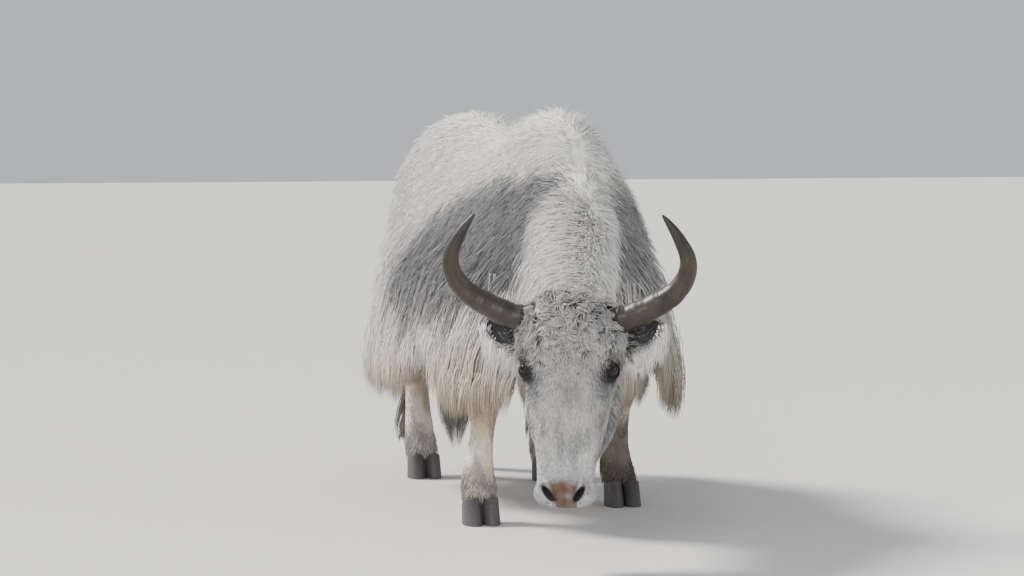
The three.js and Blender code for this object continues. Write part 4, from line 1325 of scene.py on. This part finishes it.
    def locks(self, starts: Array, path, strands: int, steps: int, wide: tuple[float, float], width: float,
              out: Array, uv: Array) -> Tufts:
        """Locks of long hair: strands that start apart and end together.

        Args:
            starts: one row a lock, passed on to path.
            path: gives the middle line of every lock, from its rows.
            strands: how many strands a lock has.
            steps: lengths in each strand.
            wide: a lock's half width at its root and at its tip.
            width: a strand's width.
            out: the way each lock faces.
            uv: each lock's place on the skin's map.

        Returns:
            The strands.
        """
        middle = path(starts, steps)
        count = len(starts)
        lock = np.repeat(np.arange(count), strands)
        lines = middle[lock]
        total = len(lock)
        t = np.linspace(0, 1, steps + 1)[None, :, None]
        way = unit(middle[:, -1] - middle[:, 0])[lock]
        face = out[lock]
        across = unit(np.cross(face, way))
        a, b = self.draw.normal(0, 0.55, (2, total, 1, 1))
        spread = wide[0] + (wide[1] - wide[0]) * t**0.8
        lines = lines + across[:, None, :] * a.reshape(total, 1, 1) * spread
        lines = lines + face[:, None, :] * b.reshape(total, 1, 1) * spread * 0.55
        reach = 1.06 - 0.34 * self.draw.random((total, 1, 1)) ** 1.5
        lines = lines[:, :1] + (lines - lines[:, :1]) * reach
        phase = self.draw.random((total, 1, 1)) * 2 * np.pi
        lines = lines + across[:, None, :] * 3.0 * np.sin(5 * t + phase) * t
        vary = 1 + 0.16 * (self.draw.random((total, 1)) - 0.5)
        near_root = 0.6 * middle[:, 0] + 0.4 * middle[:, 1]
        colour = self.tint(near_root, 16)[lock] * vary
        tip = self.tint(middle[:, -1], 12)[lock] * vary
        # 0.9 is the painted shade at the strands' roots.
        return Tufts(lines, np.full(total, width), face, colour, tip, uv[lock], 0.9)

    def on_map(self, points: Array) -> Array:
        """The skin map's places nearest some points."""
        middles = self.map.middles()[::5]
        return self.map.uv.mean(axis=1)[::5][nearest(points, middles)]

    def skirt(self) -> Tufts:
        """The long hair of the flanks, shoulders and thighs, in overlapping locks down to the knees."""
        trunk = self.yak.trunk
        count = 560
        draw = self.draw
        s = np.where(np.arange(count) % 2, 1.0, -1.0)
        y = -235 + (1165 + 235) * (np.arange(count) // 2 + draw.random(count)) / (count // 2)
        top = 430 + 300 * draw.random(count)
        foot = trunk.hem(y) + 46 * smooth(960, 1150, y) + 30 * smooth(-140, -240, y)
        end = np.maximum(foot - 4 + 60 * draw.random(count) ** 1.4, top - (200 + 190 * draw.random(count)))
        top = np.maximum(top, end + 90)
        depth = 34 * draw.random(count) ** 1.3
        sweep = 20 + 40 * (draw.random(count) - 0.5)
        rows = np.stack([s, y, top, end, depth, sweep], axis=1)

        def path(rows: Array, steps: int) -> Array:
            """Down the side, out over the skirt's flare and in at the tip."""
            s, y, top, end, depth, sweep = (rows[:, i, None] for i in range(6))
            t = np.linspace(0, 1, steps + 1)[None, :]
            z = top + (end - top) * t
            place = y + sweep * t**2
            flat = trunk.hang(place.ravel(), z.ravel()).reshape(z.shape)
            under = smooth(0, 0.4, t)
            x = flat - 24 * smooth(470, 680, z) - 20 * (1 - under) - depth * under - 12 * t**3
            return np.stack([s * x, place, z], axis=-1)

        out = np.stack([s, np.zeros(count), np.full(count, 0.12)], axis=1)
        return self.locks(rows, path, 27, 3, (38, 25), 3.9, unit(out), self.on_map(path(rows, 1)[:, 0]))

    def feathers(self) -> Tufts:
        """The long hair round the upper legs, gathered in at the knees, and behind the hind cannons."""
        draw, rows, lines = self.draw, [], list(self.yak.legs.lines)
        for k, name in enumerate(lines):
            fore = name.startswith("fore")
            for _ in range(60 if fore else 34):
                start = 0.08 + 0.3 * draw.random()
                stop = min(start + 0.16 + 0.14 * draw.random(), 0.53 if fore else 0.45)
                rows.append([k, start, stop, draw.random() * 2 * np.pi, 20 + 14 * draw.random(), 0])
            for _ in range(0 if fore else 30):
                start = 0.4 + 0.3 * draw.random()
                rows.append([k, start, start + 0.14, np.pi + 0.5 * draw.normal(), 10, 26])
        rows = np.array(rows)
        out = np.stack([np.sin(rows[:, 3]), -np.cos(rows[:, 3]), np.zeros(len(rows))], axis=1)

        def path(rows: Array, steps: int) -> Array:
            """Down a leg, over its skin, and away from it."""
            t = np.linspace(0, 1, steps + 1)
            whole = np.zeros((len(rows), steps + 1, 3))
            for k, name in enumerate(lines):
                own = rows[:, 0] == k
                start, stop, turn, swell, away = (rows[own, i, None] for i in range(1, 6))
                place = start + (stop - start) * t[None, :]
                half, before, behind = np.moveaxis(along(self.yak.legs.sizes(name), place), -1, 0)
                reach = np.where(np.cos(turn) > 0, before, behind)
                puff = -12 + (swell + 14) * np.sin(np.pi * np.clip(t * 0.75, 0, 1))[None, :] + away * t[None, :]
                line = Line(self.yak.legs.lines[name]).at(place)
                side = np.sin(turn) * (half + puff)
                ahead = -np.cos(turn) * (reach + puff)
                whole[own] = line + np.stack([side, ahead, np.zeros_like(side)], axis=-1)
            return whole

        return self.locks(rows, path, 24, 3, (22, 12), 3.8, unit(out), self.on_map(path(rows, 1)[:, 0]))

    def brisket(self) -> Tufts:
        """The fringe under the chest."""
        trunk, draw, count = self.yak.trunk, self.draw, 90
        x = 150 * (2 * draw.random(count) - 1)
        y = -300 + 300 * draw.random(count)
        top, _, belly, half, _ = np.moveaxis(along(trunk.table, y), -1, 0)
        size = trunk.size(y, trunk.coat)
        middle = (top + belly) / 2
        edge = np.sqrt(1 - np.clip(np.abs(x) / (half * size), 0, 0.95) ** 2)
        z = middle - (middle - belly) * size * edge + 20
        rows = np.stack([x, y, z, 345 + 50 * draw.random(count)], axis=1)

        def path(rows: Array, steps: int) -> Array:
            """Forward a little, and down."""
            x, y, z, end = (rows[:, i, None] for i in range(4))
            t = np.linspace(0, 1, steps + 1)[None, :]
            return np.stack([x * (1 + 0.1 * t), y - 16 * np.sin(np.pi * t), z + (end - z) * t], axis=-1)

        out = np.stack([x / 150, -np.ones(count), np.zeros(count)], axis=1)
        return self.locks(rows, path, 24, 3, (26, 16), 4.2, unit(out), self.on_map(rows[:, :3]))

    def tail(self) -> Tufts:
        """The tail's long hair, from the dock nearly to the floor."""
        tail, draw, count = self.yak.tail, self.draw, 150
        at = 0.12 + 0.86 * (np.arange(count) + draw.random(count)) / count
        root = tail.line.at(at)
        turn = draw.random(count) * 2 * np.pi
        out = np.stack([np.sin(turn), 0.6 * np.cos(turn) + 0.12, np.zeros(count)], axis=1)
        end = np.maximum(tail.foot + 30 * draw.random(count), root[:, 2] - 190 - 330 * draw.random(count))
        rows = np.concatenate([root, out, end[:, None], (28 + 34 * at)[:, None]], axis=1)

        def path(rows: Array, steps: int) -> Array:
            """Out from the dock and down."""
            root, out, end, spread = rows[:, None, :3], rows[:, None, 3:6], rows[:, None, 6], rows[:, None, 7:8]
            t = np.linspace(0, 1, steps + 1)[None, :]
            swell = (np.sin(np.pi * np.clip(t * 1.1, 0, 1)) ** 0.7 * 0.8 + 0.16)[..., None]
            line = root + out * spread * swell * (t[..., None] > 0)
            line = line + 0 * end[..., None]
            line[..., 2] = root[..., 2] + (end - root[..., 2]) * t
            return line

        return self.locks(rows, path, 26, 3, (16, 9), 3.4, unit(out), self.on_map(root))

    def fringe(self) -> Tufts:
        """The white hair along each ear's lower edge, and round its rim."""
        head, draw, each = self.yak.head, self.draw, 46
        rows = []
        for s in (-1, 1):
            for i in range(each):
                t = (i + draw.random()) / each
                edge = math.pi * (0.46 - 0.86 * t)
                place = Vector((s * -41 * math.cos(edge), 4 * draw.random(), 74 + 66 * math.sin(edge)))
                root = head.out(np.array([head.ear_matrix(s) @ place]))[0]
                rows.append([*root, s * (2 + 14 * draw.random()), -8 * draw.random(), -34 - 46 * draw.random()])
        rows = np.array(rows)

        def path(rows: Array, steps: int) -> Array:
            """Out from the rim and down."""
            t = np.linspace(0, 1, steps + 1)[None, :, None]
            root, way = rows[:, None, :3], rows[:, None, 3:]
            return root + way * t + np.array([0, -1.0, 0.4]) * 9 * np.sin(np.pi * t)

        facing = np.tile(head.out_way(np.array([[0, 1.0, 0]])), (len(rows), 1))
        tufts = self.locks(rows, path, 16, 3, (12, 3), 2.6, unit(facing), self.on_map(rows[:, :3]))
        tufts.colour = self.markings.colours.white.array() * (0.9 + 0.2 * draw.random((len(tufts.colour), 1)))
        tufts.tip = tufts.colour
        return tufts


# ---------------------------------------------------------------- horns, hooves and eyes


@dataclass
class Horns:
    """The two upswept horns."""

    head: Head
    line: Array = field(
        default_factory=lambda: np.array(
            [
                [96, -40, 52], [150, -32, 47], [228, -16, 14], [276, 2, -14], [308, 24, -54], [314, 44, -96],
                [295, 62, -140], [270, 76, -178], [247, 86, -206],
            ],
            float,
        )
    )
    sizes: Array = field(
        default_factory=lambda: np.array(
            [[0, 36], [0.13, 35], [0.3, 31], [0.5, 25.5], [0.7, 19], [0.87, 11], [1, 3]], float
        )
    )
    rings: int = 13

    def build(self, side: Side) -> bpy.types.Object:
        """One horn, with growth rings that fade towards its tip."""
        s = side.value
        line = Line(self.head.out(self.line * np.array([s, 1, 1])).tolist())

        def place(t: Array, turn: Array) -> Array:
            """The horn's ringed surface."""
            front, across = line.frame(t, [0, 0.2, 1])
            ridge = np.sin(t * self.rings * 2 * np.pi * (1 - 0.25 * t) + 0.35 * np.sin(turn + s)) ** 3
            size = along(self.sizes, t)[:, 0] * dome(t, 0, 1, 0.02, 0.03)
            size = size * (1 + 0.045 * ridge * smooth(0.62, 0.12, t) + 0.012 * np.sin(3 * turn + 6 * t))
            return line.at(t) + (across * np.sin(turn)[:, None] + front * np.cos(turn)[:, None]) * size[:, None]

        made = as_object(f"horn_{side.name.lower()}_shell", closed_form(150, 32, place))
        p = points_of(made)
        steps = np.linspace(0, 1, 60)
        share = steps[nearest(p, line.at(steps))]
        base, middle, tip = np.array([[0.03, 0.024, 0.018], [0.03, 0.022, 0.014], [0.016, 0.013, 0.011]])
        colour = base + (middle - base) * smooth(0.1, 0.5, share)[:, None]
        colour = colour + (tip - colour) * smooth(0.55, 0.95, share)[:, None]
        streak = cloud(p * np.array([1, 1, 0.6]), 30, 12.0 + s)
        paint(made, colour * (1 + 0.45 * streak[:, None]) * (0.8 + 0.4 * smooth(0.0, 0.18, share)[:, None]))
        return made


@dataclass
class Hooves:
    """Eight claws and eight dewclaws."""

    legs: Legs
    length = 108.0
    width = 106.0
    front = 82.0
    heel = 52.0
    cleft = 7.0

    def claw(self, name: str, s: int) -> bmesh.types.BMesh:
        """A claw: a flat-soled block with a curved wall that slopes up to the coronet."""
        x, y, _ = self.legs.lines[name][4]
        bm = bmesh.new()
        bmesh.ops.create_cone(bm, cap_ends=True, segments=40, radius1=1, radius2=1, depth=1)
        bmesh.ops.bevel(bm, geom=[e for e in bm.edges if e.is_boundary or abs(e.verts[0].co.z - e.verts[1].co.z) < 1e-6],
                        offset=0.05, segments=2, affect="EDGES", profile=0.5, material=-1)
        slit = x + s * self.cleft / 2
        for vert in bm.verts:
            across, forward, up = vert.co.x, -vert.co.y, vert.co.z + 0.5
            reach = self.length / 2 * (1 - 0.26 * up**0.8) * 0.98
            wide = self.width / 4 * (1.04 - 0.08 * up)
            height = self.heel + (self.front - self.heel) * (forward + 1) / 2
            bulge = 1 + 0.04 * math.sin(math.pi * up)
            px = x + s * (self.width / 4 + 1) + wide * across * bulge
            px = max(px, slit) if s > 0 else min(px, slit)
            vert.co = (px, y - (16 - 14 * up) - reach * forward * bulge, height * up)
        return bm

    def dewclaw(self, name: str, s: int) -> bmesh.types.BMesh:
        """A dewclaw behind the pastern."""
        x, y, z = self.legs.lines[name][3]
        place = Matrix.Translation((x + s * 24, y + 47, z - 20)) @ Matrix.Rotation(-0.5, 4, "X")
        return turned(ellipsoid([0, 0, 0], [13, 13, 20], 16, 10), place)

    def build(self) -> bpy.types.Object:
        """All claws and dewclaws in one mesh."""
        forms = []
        for name in self.legs.lines:
            for s in (-1, 1):
                forms += [self.claw(name, s), self.dewclaw(name, s)]
        made = as_object("hooves", gather(forms))
        p = points_of(made)
        rings = 0.12 * np.sin(p[:, 2] * 0.55 + 1.5 * cloud(p, 50, 2.0))
        paint(made, np.array([0.085, 0.08, 0.082]) * (1 + rings + 0.3 * cloud(p, 18, 4.0))[:, None])
        return made


@dataclass
class Eyes:
    """The eyeballs, and the rims of their lids."""

    head: Head

    def ball(self, side: Side) -> bpy.types.Object:
        """A dark wet eyeball with a slight cornea."""
        s = side.value
        x, y, z = self.head.eye
        form = ellipsoid([0, 0, 0], [self.head.eye_radius] * 3, 40, 28)
        look = self.head.gaze(s)[0]
        for vert in form.verts:
            ahead = vert.co.normalized().dot(look)
            vert.co *= 1 + 0.05 * max(0.0, ahead - 0.8) / 0.2
        turned(form, self.head.matrix @ Matrix.Translation((s * x, y, z)))
        made = as_object(f"eyeball_{side.name.lower()}", form)
        h = self.head.into(points_of(made)) - np.array([s * x, y, z])
        ahead = unit(h) @ np.array(look)
        iris = smooth(0.78, 0.84, ahead)
        pupil = smooth(0.92, 0.95, ahead)
        white, brown = np.array([[0.02, 0.016, 0.014], [0.014, 0.008, 0.005]])
        colour = white * (1 - iris[:, None]) + brown * iris[:, None]
        paint(made, colour * (1 - 0.8 * pupil[:, None]))
        return made

    def lids(self) -> bpy.types.Object:
        """Upper and lower lids as thin shells over the balls, open in an almond."""
        forms = []
        for s in (-1, 1):
            x, y, z = self.head.eye
            bm = ellipsoid([0, 0, 0], [self.head.eye_radius + 1.0] * 3, 48, 36)
            look, outer, across = self.head.gaze(s)
            gone = []
            for face in bm.faces:
                c = face.calc_center_median().normalized()
                a, b, f = c.dot(outer), c.dot(across), c.dot(look)
                if f < 0.05 or (a / 0.86) ** 2 + ((b + 0.06) / 0.5) ** 2 < 1:
                    gone.append(face)
            bmesh.ops.delete(bm, geom=gone, context="FACES")
            bmesh.ops.solidify(bm, geom=bm.faces, thickness=-3.4)
            bmesh.ops.recalc_face_normals(bm, faces=bm.faces)
            forms.append(turned(bm, self.head.matrix @ Matrix.Translation((s * x, y, z))))
        made = as_object("eyelids", gather(forms))
        calm = made.modifiers.new("calm", "SMOOTH")
        calm.iterations = 3
        settle(made)
        paint(made, CoatColours().rim.array())
        return made


# ---------------------------------------------------------------- studio


@dataclass
class Studio:
    """Floor, lights and the camera of the photo's view."""

    origin: Vector
    height: float = 1.21
    place: tuple[float, float] = (-2.515, -8.486)
    heading: float = 15.5
    dip: float = 3.43
    lens: float = 105.47

    def camera(self) -> None:
        """The camera, low and far to the animal's front right."""
        data = bpy.data.cameras.new("camera")
        data.lens = self.lens
        data.sensor_width = 36
        data.clip_end = 200
        made = bpy.data.objects.new("camera", data)
        made.location = Vector((*self.place, self.height)) + self.origin
        made.rotation_euler = (math.radians(90 - self.dip), 0, -math.radians(self.heading))
        bpy.context.scene.collection.objects.link(made)
        bpy.context.scene.camera = made

    def floor(self) -> None:
        """A plain pale floor."""
        bm = bmesh.new()
        bmesh.ops.create_grid(bm, x_segments=1, y_segments=1, size=40)
        made = as_object("floor", bm)
        paint(made, np.array([0.62, 0.61, 0.60]))
        made.data.materials.append(FLOOR.material())

    def light(self, name: str, kind: str, place: tuple[float, float, float], size: float, energy: float,
              colour: tuple[float, float, float]) -> None:
        """A soft light aimed at the animal's middle.

        Args:
            name: its name.
            kind: SUN or AREA.
            place: where it stands, in metres from the animal.
            size: a sun's width in radians, or an area's in metres.
            energy: its strength.
            colour: its colour.
        """
        data = bpy.data.lights.new(name, kind)
        if kind == "SUN":
            data.angle = size
        else:
            data.size = size
        data.energy = energy
        data.color = colour
        made = bpy.data.objects.new(name, data)
        made.location = Vector(place) + self.origin
        made.rotation_euler = (Vector((0, 0.1, 0.6)) + self.origin - made.location).to_track_quat("-Z", "Y").to_euler()
        bpy.context.scene.collection.objects.link(made)

    def build(self) -> None:
        """The whole set."""
        self.floor()
        self.camera()
        self.light("back_sun", "SUN", (-3.4, 3.4, 5.0), 0.25, 6.5, (1.0, 0.97, 0.92))
        self.light("key", "AREA", (-4.0, -6.5, 3.6), 3.5, 270, (1.0, 0.98, 0.96))
        self.light("fill", "AREA", (5.0, -4.5, 3.0), 4.0, 90, (0.93, 0.96, 1.0))
        world = bpy.data.worlds.new("studio")
        world.use_nodes = True
        world.node_tree.nodes["Background"].inputs["Color"].default_value = (0.84, 0.87, 0.92, 1)
        world.node_tree.nodes["Background"].inputs["Strength"].default_value = 0.7
        bpy.context.scene.world = world


def main() -> None:
    """Builds the skin, then coat, horns, hooves and eyes, then the studio."""
    yak = Yak()
    origin = yak.origin()
    shop = Workshop(origin)
    markings = Markings(yak)
    skin_maker = Skin(yak, markings)
    skin = skin_maker.build()
    LOG.info("skin built")
    for piece in Coat(yak, markings, skin).build():
        slot = "face_fur" if piece.name.startswith("coat_head") else "long_coat"
        slot = "ear_fur" if piece.name.startswith("coat_ears") else slot
        shop.hand_over(piece, COAT, slot)
    shop.hand_over(skin, SKIN, "long_coat", skin_maker.nodes())
    for side in Side:
        horn = Horns(yak.head).build(side)
        shop.hand_over(horn, HORN, "horn", [f"horn_{side.name.lower()}"])
        ball = Eyes(yak.head).ball(side)
        shop.hand_over(ball, EYE, "eye", [f"eye_{side.name.lower()}"])
    shop.hand_over(Eyes(yak.head).lids(), SKIN, "face_fur")
    claws = [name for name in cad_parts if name.startswith(("hoof_", "dewclaw_"))]
    shop.hand_over(Hooves(yak.legs).build(), HOOF, "horny_sole", claws, shade_smooth=False)
    Studio(origin).build()


if __name__ == "__main__":
    main()
